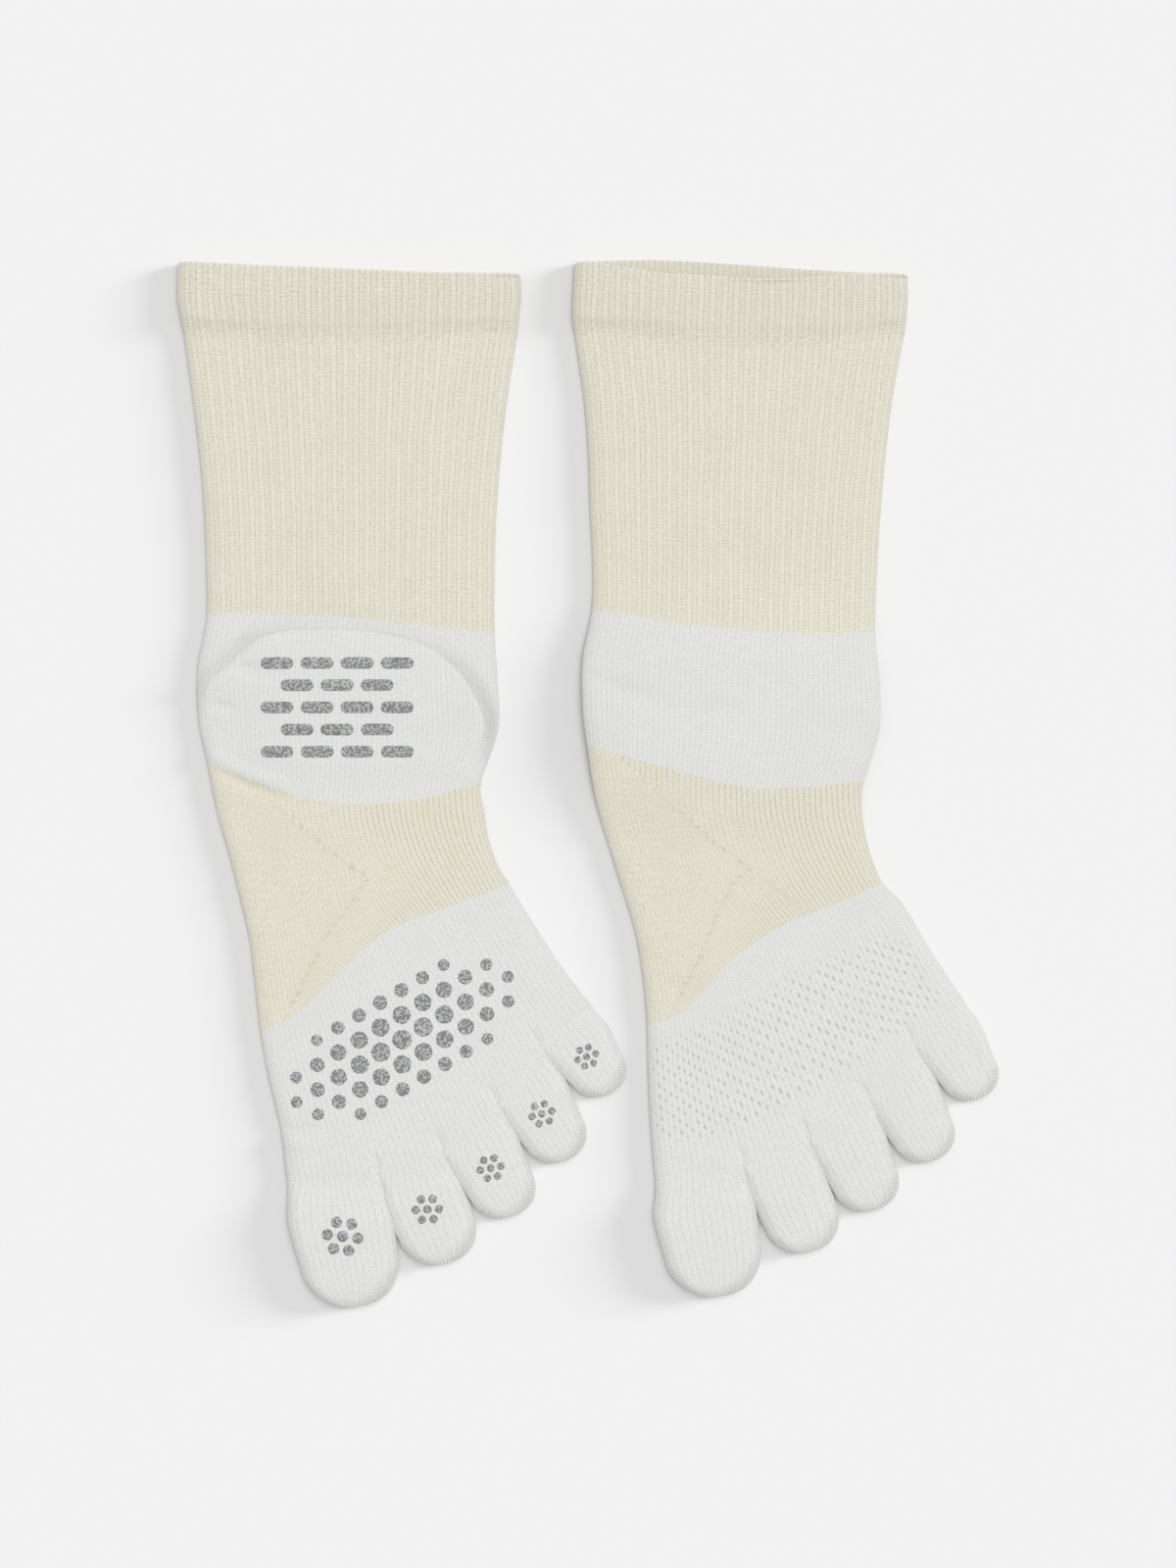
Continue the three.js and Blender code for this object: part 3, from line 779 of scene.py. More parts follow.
class StitchGroup:
    """Shader group for plain knit, 1x1 rib, eyelet mesh and seam marks, read from the stitch counts."""

    NAME = "knit stitches"
    INPUTS = {"Stitches": "Vector", "Marks": "Vector", "Rib": "Float", "Mesh": "Float", "Groove": "Float"}
    OUTPUTS = ("Height", "Hollow", "Eyelet", "Mark", "Fleck")

    @classmethod
    def tree(cls) -> bpy.types.NodeTree:
        """Builds the group once.

        The counts wander a little with two slow noises. In each wale, a is 0 at its middle and 1 at its
        borders, and b is the share of a course, slanted by a so that the two legs make a V. The cloth
        is hollow near the borders, between one V and the next and a little at the middle, all of it
        unevenly, by a noise of about a stitch. Rib sinks every second wale, and groove deepens the
        borders. Hollow is the stitches' bump and also the mask of the shade painted into their hollows;
        Eyelet and Mark likewise mask the shade painted inside the slits and the marks. Fleck is a noise
        of about a stitch and a half, drawn out a little along the wales.

        Returns:
            The group, with inputs Stitches, Marks, Rib, Mesh and Groove.
        """
        if cls.NAME in bpy.data.node_groups:
            return bpy.data.node_groups[cls.NAME]
        tree = bpy.data.node_groups.new(cls.NAME, "ShaderNodeTree")
        for name, kind in cls.INPUTS.items():
            tree.interface.new_socket(name, in_out="INPUT", socket_type=f"NodeSocket{kind}")
        for name in cls.OUTPUTS:
            tree.interface.new_socket(name, in_out="OUTPUT", socket_type="NodeSocketFloat")
        make = NodeMaker(tree)
        given = make.add("NodeGroupInput")
        result = make.add("NodeGroupOutput")
        wale, course = make.split(given.outputs["Stitches"])
        wander = make.noise(make.join(wale, course, 0.16, 0.05), 1.0, 1.0)
        jitter = make.noise(make.join(wale, course, 0.8, 0.3), 1.0, 0.0)
        steady = make.math("MULTIPLY_ADD", make.math("SUBTRACT", wander, 0.5), 0.7, wale)
        row = make.math("MULTIPLY_ADD", jitter, 1.1, course)
        from_middle = make.math("ABSOLUTE", make.math("SUBTRACT", make.math("FRACT", steady), 0.5))
        a = make.math("MULTIPLY", from_middle, 2.0)
        b = make.math("FRACT", make.math("MULTIPLY_ADD", a, -0.55, row))
        loops = make.math("SINE", make.math("MULTIPLY", b, math.pi))
        deeper = make.math("MULTIPLY_ADD", given.outputs["Groove"], 0.4, 0.68)
        border = make.math("MULTIPLY", make.step(a, 0.45, 1.0), deeper)
        between = make.math("MULTIPLY", make.step(loops, 0.85, 0.15), 0.38)
        hollow = make.math("MULTIPLY_ADD", make.step(a, 0.4, 0.0), 0.2, make.math("MAXIMUM", border, between))
        uneven = make.noise(make.join(wale, course, 2.3, 1.7), 1.0, 2.0)
        hollow = make.math("MULTIPLY", hollow, make.math("MULTIPLY_ADD", uneven, 3.6, -0.8))
        sunk = make.step(make.math("PINGPONG", make.math("SUBTRACT", steady, 0.5), 1.0), 0.75, 0.25)
        sunk = make.math("MULTIPLY", sunk, given.outputs["Rib"])
        hollow = make.math("MULTIPLY_ADD", sunk, 0.15, hollow)
        eyelet = make.math("MULTIPLY", cls._eyelets(make, wale, course), given.outputs["Mesh"])
        eyelet = make.math("MULTIPLY", eyelet, make.step(jitter, 0.2, 0.6))
        height = make.math("MULTIPLY_ADD", eyelet, -0.9, make.math("SUBTRACT", 1.0, hollow))
        make.link(height, result.inputs["Height"])
        make.link(hollow, result.inputs["Hollow"])
        make.link(eyelet, result.inputs["Eyelet"])
        make.link(cls._mark(make, given.outputs["Marks"], wander), result.inputs["Mark"])
        make.link(make.noise(make.join(wale, course, 0.9, 0.5), 1.0, 2.0), result.inputs["Fleck"])
        return tree

    @staticmethod
    def _eyelets(make: NodeMaker, wale: object, course: object) -> bpy.types.NodeSocket:
        """Two staggered sets of slits, every two wales and four courses: 1 inside a slit, else 0.

        A slit is an ellipse, leaned by taking a part of the way along from the way across.
        """
        found = None
        for shift in (0.0, 0.5):
            x = make.math("SUBTRACT", make.math("FRACT", make.math("MULTIPLY_ADD", wale, 0.5, shift)), 0.5)
            y = make.math("SUBTRACT", make.math("FRACT", make.math("MULTIPLY_ADD", course, 0.25, shift)), 0.5)
            leaned = make.math("MULTIPLY_ADD", y, -0.3, x)
            far = make.math("ADD", make.math("POWER", make.math("MULTIPLY", leaned, 7.6), 2.0),
                            make.math("POWER", make.math("MULTIPLY", y, 4.6), 2.0))
            oval = make.step(far, 1.3, 0.3)
            found = oval if found is None else make.math("MAXIMUM", found, oval)
        return found

    @staticmethod
    def _mark(make: NodeMaker, marks: object, wander: object) -> bpy.types.NodeSocket:
        """Short slanted marks along a line: 1 near a quarter of each count and close to the line.

        A noise along the line shifts each mark in both ways and makes some of them faint.
        """
        count, place = make.split(marks)
        loose = make.noise(make.join(count, place, 1.1, 0.05), 1.0, 1.0)
        faint = make.noise(make.join(count, place, 0.7, -0.05), 1.0, 1.0)
        away = make.math("SUBTRACT", make.math("MULTIPLY_ADD", loose, 1.6, place), MARK_LINE + 0.8)
        slanted = make.math("MULTIPLY_ADD", away, 0.16, make.math("MULTIPLY_ADD", loose, 1.0, count))
        apart = make.math("ABSOLUTE", make.math("SUBTRACT", make.math("FRACT", slanted), 0.25))
        near = make.step(make.math("ABSOLUTE", away), 1.2, 0.3)
        mark = make.math("MULTIPLY", make.step(apart, 0.26, 0.04), near)
        uneven = make.math("MULTIPLY", make.step(wander, 0.2, 0.5), make.step(faint, 0.28, 0.5))
        return make.math("MULTIPLY", mark, uneven)


def new_material(
    name: str, roughness: float, specular: float
) -> tuple[bpy.types.Material, NodeMaker, bpy.types.Node]:
    """An empty material with a Principled shader.

    Args:
        name: the material's name.
        roughness: how rough the surface is.
        specular: how much it glints.

    Returns:
        The material, a maker for its nodes, and its shader.
    """
    material = bpy.data.materials.new(name)
    material.use_nodes = True
    material.node_tree.nodes.clear()
    make = NodeMaker(material.node_tree)
    shader = make.add("ShaderNodeBsdfPrincipled")
    shader.inputs["Roughness"].default_value = roughness
    shader.inputs["Specular IOR Level"].default_value = specular
    make.link(shader.outputs[0], make.add("ShaderNodeOutputMaterial").inputs[0])
    return material, make, shader


@dataclass(frozen=True)
class KnitFinish:
    """Knitted cotton: its tones, how much its hollows show and how deep its stitches are.

    Light is the yarn's own tone and stray the tone of its cloudy patches and streaks. The tone given for
    the hollows between stitches, also used for the shade mask, is painted shade, and deep is the painted
    shade inside holes. Hollows, shaded, eyelets and marked are how far each of those masks turns the
    tone. Stitch depth is in metres.
    """

    name: str
    slot: str
    light: tuple[float, float, float]
    stray: tuple[float, float, float]
    shade_tone: tuple[float, float, float]
    deep: tuple[float, float, float]
    hollows: float = 0.5
    relief: float = 0.3
    shaded: float = 0.7
    eyelets: float = 0.31
    marked: float = 0.22
    fuzz_scale: float = 2600.0
    cloud_scale: float = 110.0
    stitch_depth: float = 0.0004
    mark_height: float = -0.3

    def material(self) -> bpy.types.Material:
        """Builds the material once: tone with shade painted into the stitches' hollows, soft sheen and a
        fuzzy bump.

        Returns:
            The material.
        """
        if self.name in bpy.data.materials:
            return bpy.data.materials[self.name]
        material, make, shader = new_material(self.name, roughness=0.92, specular=0.2)
        shader.inputs["Sheen Weight"].default_value = 0.4
        shader.inputs["Sheen Roughness"].default_value = 0.6
        knit = make.add("ShaderNodeGroup", node_tree=StitchGroup.tree())
        for socket, layer in (("Stitches", "stitches"), ("Marks", "marks")):
            make.link(make.add("ShaderNodeUVMap", uv_map=layer).outputs[0], knit.inputs[socket])
        for socket, name in (("Mesh", "mesh"), ("Rib", "rib"), ("Groove", "groove")):
            make.link(make.mask(name), knit.inputs[socket])
        shade = make.mask("shade")
        place = make.add("ShaderNodeTexCoord").outputs["Object"]
        fuzz = make.noise(place, self.fuzz_scale, 3.0)
        cloud = make.noise(place, self.cloud_scale, 2.0)
        mottle = make.math("MULTIPLY_ADD", cloud, 0.35, make.math("MULTIPLY", knit.outputs["Fleck"], 0.65))
        tone = make.blend(make.step(mottle, 0.38, 0.62), self.light, self.stray)
        # Each mask turns the tone towards painted shade: in stitch hollows, in shaded places, inside eyelets
        # and inside marks.
        for mask, strength, colour in (
            (knit.outputs["Hollow"], self.hollows, self.shade_tone),
            (shade, self.shaded, self.shade_tone),
            (knit.outputs["Eyelet"], self.eyelets, self.deep),
            (knit.outputs["Mark"], self.marked, self.deep),
        ):
            tone = make.blend(make.math("MULTIPLY", mask, strength), tone, colour)
        make.link(tone, shader.inputs["Base Color"])
        height = make.math("MULTIPLY_ADD", fuzz, 0.4, knit.outputs["Height"])
        height = make.math("MULTIPLY_ADD", knit.outputs["Mark"], self.mark_height, height)
        make.link(make.bump(height, self.relief, self.stitch_depth), shader.inputs["Normal"])
        return material


@dataclass(frozen=True)
class GripFinish:
    """Thin grey rubber print, speckled where the knit shows through it."""

    name: str = "speckled grey rubber"
    slot: str = "grip_rubber"
    pale: tuple[float, float, float] = (0.52, 0.525, 0.53)
    deep: tuple[float, float, float] = (0.225, 0.23, 0.233)
    grain_scale: float = 1500.0
    grain_depth: float = 0.0002
    relief: float = 0.5

    def material(self) -> bpy.types.Material:
        """Builds the material once: two greys from a fine grain, with a pebbled bump.

        Returns:
            The material.
        """
        if self.name in bpy.data.materials:
            return bpy.data.materials[self.name]
        material, make, shader = new_material(self.name, roughness=0.7, specular=0.3)
        speckle = make.noise(make.add("ShaderNodeTexCoord").outputs["Object"], self.grain_scale, 1.0)
        tone = make.blend(make.step(speckle, 0.42, 0.62), self.deep, self.pale)
        make.link(tone, shader.inputs["Base Color"])
        make.link(make.bump(speckle, self.relief, self.grain_depth), shader.inputs["Normal"])
        return material


CREAM_WELT = KnitFinish(
    "cream welt rib", "cream_rib", light=(0.87, 0.85, 0.755), stray=(0.84, 0.805, 0.69),
    shade_tone=(0.52, 0.475, 0.35), deep=(0.34, 0.29, 0.18), hollows=0.65, relief=0.36,
)
CREAM_RIB = KnitFinish(
    "cream rib", "cream_rib", light=(0.885, 0.866, 0.762), stray=(0.865, 0.832, 0.704),
    shade_tone=(0.565, 0.52, 0.376), deep=(0.46, 0.41, 0.28), hollows=0.62, relief=0.38,
)
CREAM_KNIT = KnitFinish(
    "cream plain knit", "cream_knit", light=(0.86, 0.835, 0.727), stray=(0.84, 0.797, 0.667),
    shade_tone=(0.56, 0.51, 0.36), deep=(0.44, 0.37, 0.22),
)
WHITE_KNIT = KnitFinish(
    "white plain knit", "white_knit", light=(0.857, 0.855, 0.838), stray=(0.83, 0.83, 0.808),
    shade_tone=(0.55, 0.55, 0.535), deep=(0.25, 0.25, 0.24), hollows=0.42, relief=0.36,
)
GRIP = GripFinish()
FINISH_OF = {
    "cuff": CREAM_WELT, "leg": CREAM_RIB, "ankle": WHITE_KNIT, "arch": CREAM_KNIT, "forefoot": WHITE_KNIT,
}

# The heel pocket's rim by shares across and along the ankle, from its left tip over the crest.
POCKET_RIM = (
    (0.02, 0.58), (0.04, 0.42), (0.115, 0.26), (0.19, 0.13), (0.3, 0.08), (0.5, 0.06), (0.68, 0.075),
    (0.785, 0.13), (0.86, 0.24), (0.912, 0.39), (0.945, 0.57), (0.965, 0.8), (0.95, 0.96), (0.8, 0.985),
    (0.5, 0.985), (0.2, 0.985), (0.05, 0.96), (0.02, 0.8), (0.02, 0.58),
)
CREST_POINTS = 12
# Shade beside the crest, from its left tip to its right end, and how far out it reaches in millimetres.
CREST_SHADE = {0.0: 0.45, 0.2: 0.5, 0.45: 0.26, 0.7: 0.34, 0.93: 1.0, 1.0: 0.5}
CREST_SHADE_REACH = 4.5


def dress(piece: bpy.types.Object, finish: KnitFinish | GripFinish, *nodes: str) -> None:
    """Gives a piece its finish, makes it ride on the sock pair and stands it in for CAD nodes.

    Args:
        piece: the new piece.
        finish: its finish.
        *nodes: the CAD nodes that it stands for.
    """
    piece.data.materials.append(finish.material())
    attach(piece, "root")
    if nodes:
        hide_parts(*nodes)


@dataclass
class Tube:
    """The stretches of one sock's tube."""

    plan: SockPlan
    origin: Array

    def place(self, flat: Array, z: Array) -> Array:
        """Points in the pair's frame, in millimetres: down turns into -y."""
        x = flat[..., 0] + self.plan.shape.place + self.origin[0]
        y = -flat[..., 1] + self.origin[1]
        return np.stack(np.broadcast_arrays(x, y, z), axis=-1)

    def heights(self, index: int, along: Array) -> Array:
        """Height over both layers at a share along a stretch; the cuff sinks softly to the leg's.

        Args:
            index: number of the stretch.
            along: share along the stretch.

        Returns:
            The heights in millimetres.
        """
        height = mix(STRETCHES[index].start, STRETCHES[index].end, along)
        return mix(height, STRETCHES[LEG].start, smooth(along, *FADE_TO_LEG)) if index == CUFF else height

    def crowns(self, index: int, along: Array) -> Array:
        """How much more height a stretch has in its middle.

        The cuff is pressed flat at its mouth and swells softly to the leg's crown at its seam.

        Args:
            index: number of the stretch.
            along: share along the stretch.

        Returns:
            The crowns in millimetres.
        """
        crown = STRETCHES[index].crown + np.zeros_like(along)
        if index == CUFF:
            crown = crown * mix(0.15, 1.0, smooth(along, 0.0, 0.4))
            crown = mix(crown, STRETCHES[LEG].crown, smooth(along, *FADE_TO_LEG))
        return crown

    def surface(self, index: int, turn: Array, along: Array, offset: Array, drop: Array) -> Array:
        """Points of a stretch's outer or inner surface.

        Args:
            index: number of the stretch.
            turn: place round the section.
            along: share along the stretch.
            offset: how far out from the plain outer surface.
            drop: how far down the sock a point is moved.

        Returns:
            Points in millimetres, in the pair's frame.
        """
        height = self.heights(index, along)
        sizes = STRETCHES[index]
        width = self.plan.width(index, along)
        crown = self.crowns(index, along)
        across, z = section(turn, width, height, EDGE_FOLD, crown, offset, sizes.seat)
        flat = self.plan.point(index, across, along)
        flat = flat + np.stack([np.zeros_like(drop), drop], axis=-1)
        upper = np.clip((z / height - sizes.seat) / (1.0 - sizes.seat), 0.0, 1.0)
        z = z + self.plan.lift(flat) + upper * self.plan.relief(flat)
        return self.place(flat, np.maximum(z, 0.0))

    def top(self, index: int, across: Array, along: Array) -> Array:
        """Height of the upper layer at shares across and along a stretch.

        It is the seat plus the rest of the height rounded off over the edge fold, the crown's sine,
        what a pocket beneath lifts, and the creases.
        """
        sizes = STRETCHES[index]
        height = self.heights(index, along)
        inset = np.minimum(across, 1.0 - across) * self.plan.width(index, along)
        flat = self.plan.point(index, across, along)
        round_part = (1.0 - sizes.seat) * height * rounding(inset, EDGE_FOLD)
        high = sizes.seat * height + round_part + self.crowns(index, along) * np.sin(math.pi * across)
        return high + self.plan.lift(flat) + self.plan.relief(flat)

    def courses_before(self, index: int) -> float:
        """Courses knitted before a stretch starts."""
        return sum(self.plan.length(k) for k in range(index)) / COURSE

    def build(self, index: int) -> bpy.types.Object:
        """One stretch as a closed wall: outer surface down, inner surface back up.

        Args:
            index: number of the stretch.

        Returns:
            The finished piece.
        """
        sizes = STRETCHES[index]
        shape = self.plan.shape
        turn = np.arange(sizes.columns) * 2.0 / sizes.columns
        outer = np.linspace(0.0, 1.0, sizes.rows + 1)
        inner = np.linspace(1.0, 0.0, INNER_ROWS)
        along = np.concatenate([outer, inner])
        depth = np.concatenate([np.zeros_like(outer), np.ones_like(inner)])
        roll = np.zeros_like(along)
        if index == CUFF:
            turnover = np.linspace(0.0, math.pi, TURNOVER_ROWS + 2)[1:-1]
            along = np.concatenate([along, np.zeros_like(turnover)])
            depth = np.concatenate([depth, 0.5 + 0.5 * np.cos(turnover)])
            roll = np.concatenate([roll, WELT_ROLL * -np.sin(turnover)])
            roll = roll + WELT_ROLL * (1.0 - smooth(along, 0.0, 0.08))
        grid_turn, grid_along = np.meshgrid(turn, along)
        grid_depth = np.broadcast_to(depth[:, None], grid_turn.shape)
        offset = -sizes.wall * grid_depth
        ribs = np.zeros_like(grid_turn)
        if sizes.ribbed:
            fade = smooth(grid_along, 1.0, 0.975) if index == LEG else np.ones_like(grid_along)
            ribs = (1.0 - grid_depth) * fade
            offset = offset + ribs * rib_rise(grid_turn)
        upper = grid_turn < 1.0
        drop = np.broadcast_to(roll[:, None], grid_turn.shape).copy()
        if index == CUFF:
            sagging = smooth(grid_turn, 0.02, 0.3) * smooth(grid_turn, 0.95, 0.5)
            drop += np.where(upper, shape.mouth_dip * sagging, 0.0) * (1.0 - grid_along) ** 2
        points = self.surface(index, grid_turn, grid_along, offset, drop)
        counts_turn, counts_along = np.meshgrid(np.concatenate([turn, [2.0]]), along)
        counts = np.stack([wales(counts_turn), self.courses(index, counts_along)], axis=-1)
        marks = np.zeros_like(counts)
        grooves = np.zeros_like(grid_turn)
        if index == LEG:
            below = counts_along * self.plan.length(index) - SEAM_STITCH
            marks = np.stack([counts[..., 0] / 2, MARK_LINE + below], axis=-1)
        if index == ARCH:
            counts, marks = self.fashioned(counts_turn, counts_along, counts)
            grooves = smooth(marks[:, :-1, 1] - MARK_LINE, 4.0, 16.0)
        mesh_share = self.mesh_share(index, grid_turn, grid_along) * (1.0 - grid_depth)
        rims = (sizes.rows, sizes.rows + 1)
        if index != CUFF:
            rims = (0, *rims, sizes.rows + INNER_ROWS)
        name = f"{sizes.name}_{shape.facing.value}"
        surface = Surface(
            name, points[:, ::-1], counts[:, ::-1], closed_rows=True, sharp_rows=rims, marks=marks[:, ::-1],
            masks={
                "rib": ribs[:, ::-1], "mesh": mesh_share[:, ::-1], "groove": grooves[:, ::-1],
                "shade": self.shades(index, grid_turn, grid_along, grid_depth)[:, ::-1],
            },
        )
        piece = surface.build()
        dress(piece, FINISH_OF[sizes.name], name)
        round_width = 2.0 * float(self.plan.width(index, np.linspace(0, 1, 9)).mean())
        self.plan.length(index) * MM
        log.info("%s: %d rows of %d points", name, *grid_turn.shape)
        return piece

    def shades(self, index: int, turn: Array, along: Array, depth: Array) -> Array:
        """Where cloth lies in the shade: inside the mouth, and beside the crest of the heel's fold.

        Args:
            index: number of the stretch.
            turn: place round the section.
            along: share along the stretch.
            depth: 0 on the outer surface and 1 on the inner one.

        Returns:
            The shade, from 0 to 1.
        """
        if index == CUFF:
            return MOUTH_SHADE * depth * (turn > 1.0)
        if index != ANKLE or self.plan.shape.facing is not Facing.SOLE_UP:
            return np.zeros_like(turn)
        crest = self.plan.point(ANKLE, *np.array(POCKET_RIM[:CREST_POINTS]).T)
        flat = self.plan.point(ANKLE, np.where(turn <= 1.0, turn, 2.0 - turn), along)
        far, length, _ = distance_to(crest, flat)
        whole = np.linalg.norm(np.diff(crest, axis=0), axis=1).sum()
        strength = np.interp(length / whole, list(CREST_SHADE), list(CREST_SHADE.values()))
        return strength * smooth(far, CREST_SHADE_REACH, -0.5) * (turn < 1.0)

    def courses(self, index: int, along: Array) -> Array:
        """Course counts along a stretch, carried on from the stretches before it."""
        return self.courses_before(index) + along * self.plan.length(index) / COURSE

    def fashioned(self, turn: Array, along: Array, counts: Array) -> tuple[Array, Array]:
        """Stitch counts of the arch, where two fields of wales meet on the fashioning line.

        Left of the line, towards the big toe, the wales follow the tube. Right of it they start straight
        down and bend to the right, by the square of the way past the bend's start over twice its run.

        Args:
            turn: place round the section.
            along: share along the arch.
            counts: stitch counts as on the rest of the tube.

        Returns:
            The changed counts and the marks, which are the count along the line and the distance from it.
        """
        share = np.where(turn <= 1.0, turn, 2.0 - turn)
        flat = self.plan.point(ARCH, share, along)
        x, down = flat[..., 0], flat[..., 1]
        line = np.array(self.plan.shape.fashioning)
        far, length, side = distance_to(line, flat)
        bend = np.maximum(down - WALE_BEND_START, 0.0) ** 2 / (2 * WALE_BEND_RUN)
        bent = WALES_PER_LAYER / 2 + (x - bend) / WALE_PITCH
        inside = smooth(side * far, -0.1, 0.1)
        wale = mix(counts[..., 0], np.where(turn <= 1.0, bent, 2 * WALES_PER_LAYER - bent), inside)
        changed = np.stack([wale, counts[..., 1]], axis=-1)
        return changed, np.stack([length / MARK_PITCH, MARK_LINE + side * far], axis=-1)

    def mesh_share(self, index: int, turn: Array, along: Array) -> Array:
        """Where the instep is open mesh: 1 inside its field and softly down to 0 at the border."""
        if index != FOREFOOT:
            return np.zeros_like(turn)
        instep = turn < 1.0 if self.plan.shape.facing is Facing.INSTEP_UP else turn > 1.0
        flat = self.plan.point(index, np.where(turn <= 1.0, turn, 2.0 - turn), along)
        inside = np.ones_like(turn)
        for border, facing in ((MESH_UPPER_BORDER, -1.0), (MESH_LOWER_BORDER, 1.0)):
            far, _, side = distance_to(np.array(border), flat)
            inside = inside * smooth(facing * side * far, -0.5, 4.5)
        share = np.where(turn <= 1.0, turn, 2.0 - turn)
        return instep * inside * smooth(share, 0.015, 0.05) * smooth(share, 0.95, 0.9)


@dataclass
class ToeTube:
    """One toe tube, from its root on the toe line to its gathered tip."""

    tube: Tube
    number: int
    root_fold: float = 0.15
    side_fold: float = 4.4
    fold_run: float = 7.5
    snug: float = 1.15
    pressed: float = 1.8
    wales: float = 1.15
    tip_share: float = 0.47
    left_corner: float = 1.05
    right_corner: float = 0.72
    crown: float = 0.5
    ridge: float = 0.42
    ridge_pitch: float = 1.12
    columns: int = 216
    rows: int = 28
    tip_rows: int = 40
    inner_rows: int = 6
    gather_length: float = 4.2

    def __post_init__(self) -> None:
        """Works out the toe's root and barrel."""
        line = self.tube.plan.lines[-1]
        margin = 0.03 / line.lengths[-1]
        self.toe = self.tube.plan.shape.toes[self.number]
        self.start = line.share_of_point(self.number) + margin
        self.end = line.share_of_point(self.number + 1) - margin
        corners = line.at_length(np.array([self.start, self.end]))
        self.root_middle = corners.mean(axis=0)
        self.root_width = float(np.linalg.norm(corners[1] - corners[0]))
        self.tip = self.tip_share * self.toe.end
        self.barrel = self.toe.length - self.tip
        lean = math.radians(self.toe.lean)
        self.ahead = np.array([math.sin(lean), math.cos(lean)])
        self.sideways = np.array([math.cos(lean), -math.sin(lean)])

    def chain(self) -> tuple[Array, Array, Array]:
        """Rows of the wall: inner surface from its pole out to the root, then the outer surface.

        Returns:
            Each row's distance from the root, its closing angle and its offset from the outer surface.
        """
        closing = np.linspace(0.0, math.pi / 2, self.tip_rows + 1)[1:]
        inner_closing = np.linspace(0.0, math.pi / 2, self.inner_rows + 1)[1:]
        tip = self.barrel + self.tip * np.sin(closing)
        outer = np.concatenate([np.linspace(0.0, self.barrel, self.rows), tip])
        reach = (self.tip - CLOTH) * np.sin(inner_closing)
        inner = np.concatenate([np.linspace(0.0, self.barrel, self.inner_rows), self.barrel + reach])
        distance = np.concatenate([inner[::-1], outer])
        angle = np.concatenate([inner_closing[::-1], np.zeros(self.inner_rows + self.rows), closing])
        offset = np.concatenate([np.full(len(inner), -CLOTH), np.zeros(len(outer))])
        return distance, angle, offset

    def width(self, share: Array) -> Array:
        """Width along the barrel: root to belly to end, swollen a little, most where its neighbours press."""
        first = mix(self.root_width, self.toe.belly, smooth(share, 0.0, 0.5))
        second = mix(self.toe.belly, self.toe.end, smooth(share, 0.5, 1.0))
        pressed = self.pressed * smooth(share, 0.0, 0.1) * (1.0 - smooth(share, 0.3, 0.7))
        return np.where(share < 0.5, first, second) + self.snug * np.sin(math.pi * share) ** 0.6 + pressed

    def ridges(self, lateral: Array, distance: Array, width: Array) -> tuple[Array, Array]:
        """Gathers round the tip: cosine waves that fan out from the cap's centre.

        With u and v the places across and along the cap as shares of its half width and its length,
        the waves follow the angle of (u, v) and show where their radius is near 1.

        Args:
            lateral: place across, from the toe's own middle line.
            distance: distance from the root.
            width: the barrel's width at the cap.

        Returns:
            Heights from 0 to 1, and how far a place lies in a valley between them, the mask of painted shade.
        """
        u = lateral / (width / 2)
        v = np.maximum((distance - self.barrel) / self.tip, 0.0)
        count = math.pi * self.toe.end / 2 / self.ridge_pitch
        band = self.gather_length / self.tip
        wave = 0.5 + 0.5 * np.cos(2 * count * np.arctan2(v, u))
        shown = smooth(np.hypot(u, v), 1.0 - band, 1.0 - 0.1 * band) * smooth(v, 0.05, 0.4)
        return wave * shown, (1.0 - wave) ** 2 * shown

    def flat(self, across: Array, distance: Array, narrowing: Array) -> Array:
        """Plan of the toe: rows turn from the toe line's own slant to square with the toe's lean.

        Args:
            across: share from the left side to the right one.
            distance: distance from the root.
            narrowing: how far a row's half width has closed in, 1 along the barrel and 0 at the tip.

        Returns:
            Points with x and down in the last axis.
        """
        share = np.clip(distance / self.barrel, 0.0, 1.0)
        bent = (across - 0.5) * self.width(share) * narrowing + self.toe.bend * share**2
        ahead = self.ahead * distance[..., None]
        line = self.tube.plan.lines[-1]
        spread = 0.5 * self.pressed * smooth(distance, -0.8, 1.2) / line.lengths[-1]
        start = self.start - spread * (self.number > 0)
        end = self.end + spread * (self.number < len(self.tube.plan.shape.toes) - 1)
        on_line = line.at_length(mix(start, end, across)) + ahead
        square = self.root_middle + ahead + self.sideways * bent[..., None]
        return mix(on_line, square, smooth(distance, 0.0, 0.7 * self.barrel)[..., None])

    def rises(self, across: Array, distance: Array) -> tuple[Array, Array, Array, Array]:
        """Sizes of the section along the toe.

        Args:
            across: share from the left side to the right one.
            distance: distance from the root.

        Returns:
            Height over both layers, fold width, crown, and how far the foot's own side fold flattens it.
        """
        opened = smooth(distance, 0.0, self.fold_run) ** 0.8
        height = mix(STRETCHES[-1].end, self.toe.height, smooth(distance / self.barrel, 0.0, 0.6))
        foot_share = mix(self.start, self.end, across)
        foot_crown = STRETCHES[-1].crown * np.sin(math.pi * foot_share)
        crown = mix(foot_crown, self.crown * np.sin(math.pi * across), opened)
        foot_width = float(self.tube.plan.width(FOREFOOT, np.array(1.0)))
        inset = np.minimum(foot_share, 1.0 - foot_share) * foot_width
        rounded = mix(rounding(inset, EDGE_FOLD), 1.0, opened)
        return height, mix(self.root_fold, self.side_fold, opened), crown, rounded

    def ground(self, across: Array, along: Array) -> Array:
        """Plan of the barrel by shares across and along."""
        return self.flat(across, np.asarray(along) * self.barrel, np.ones_like(across))

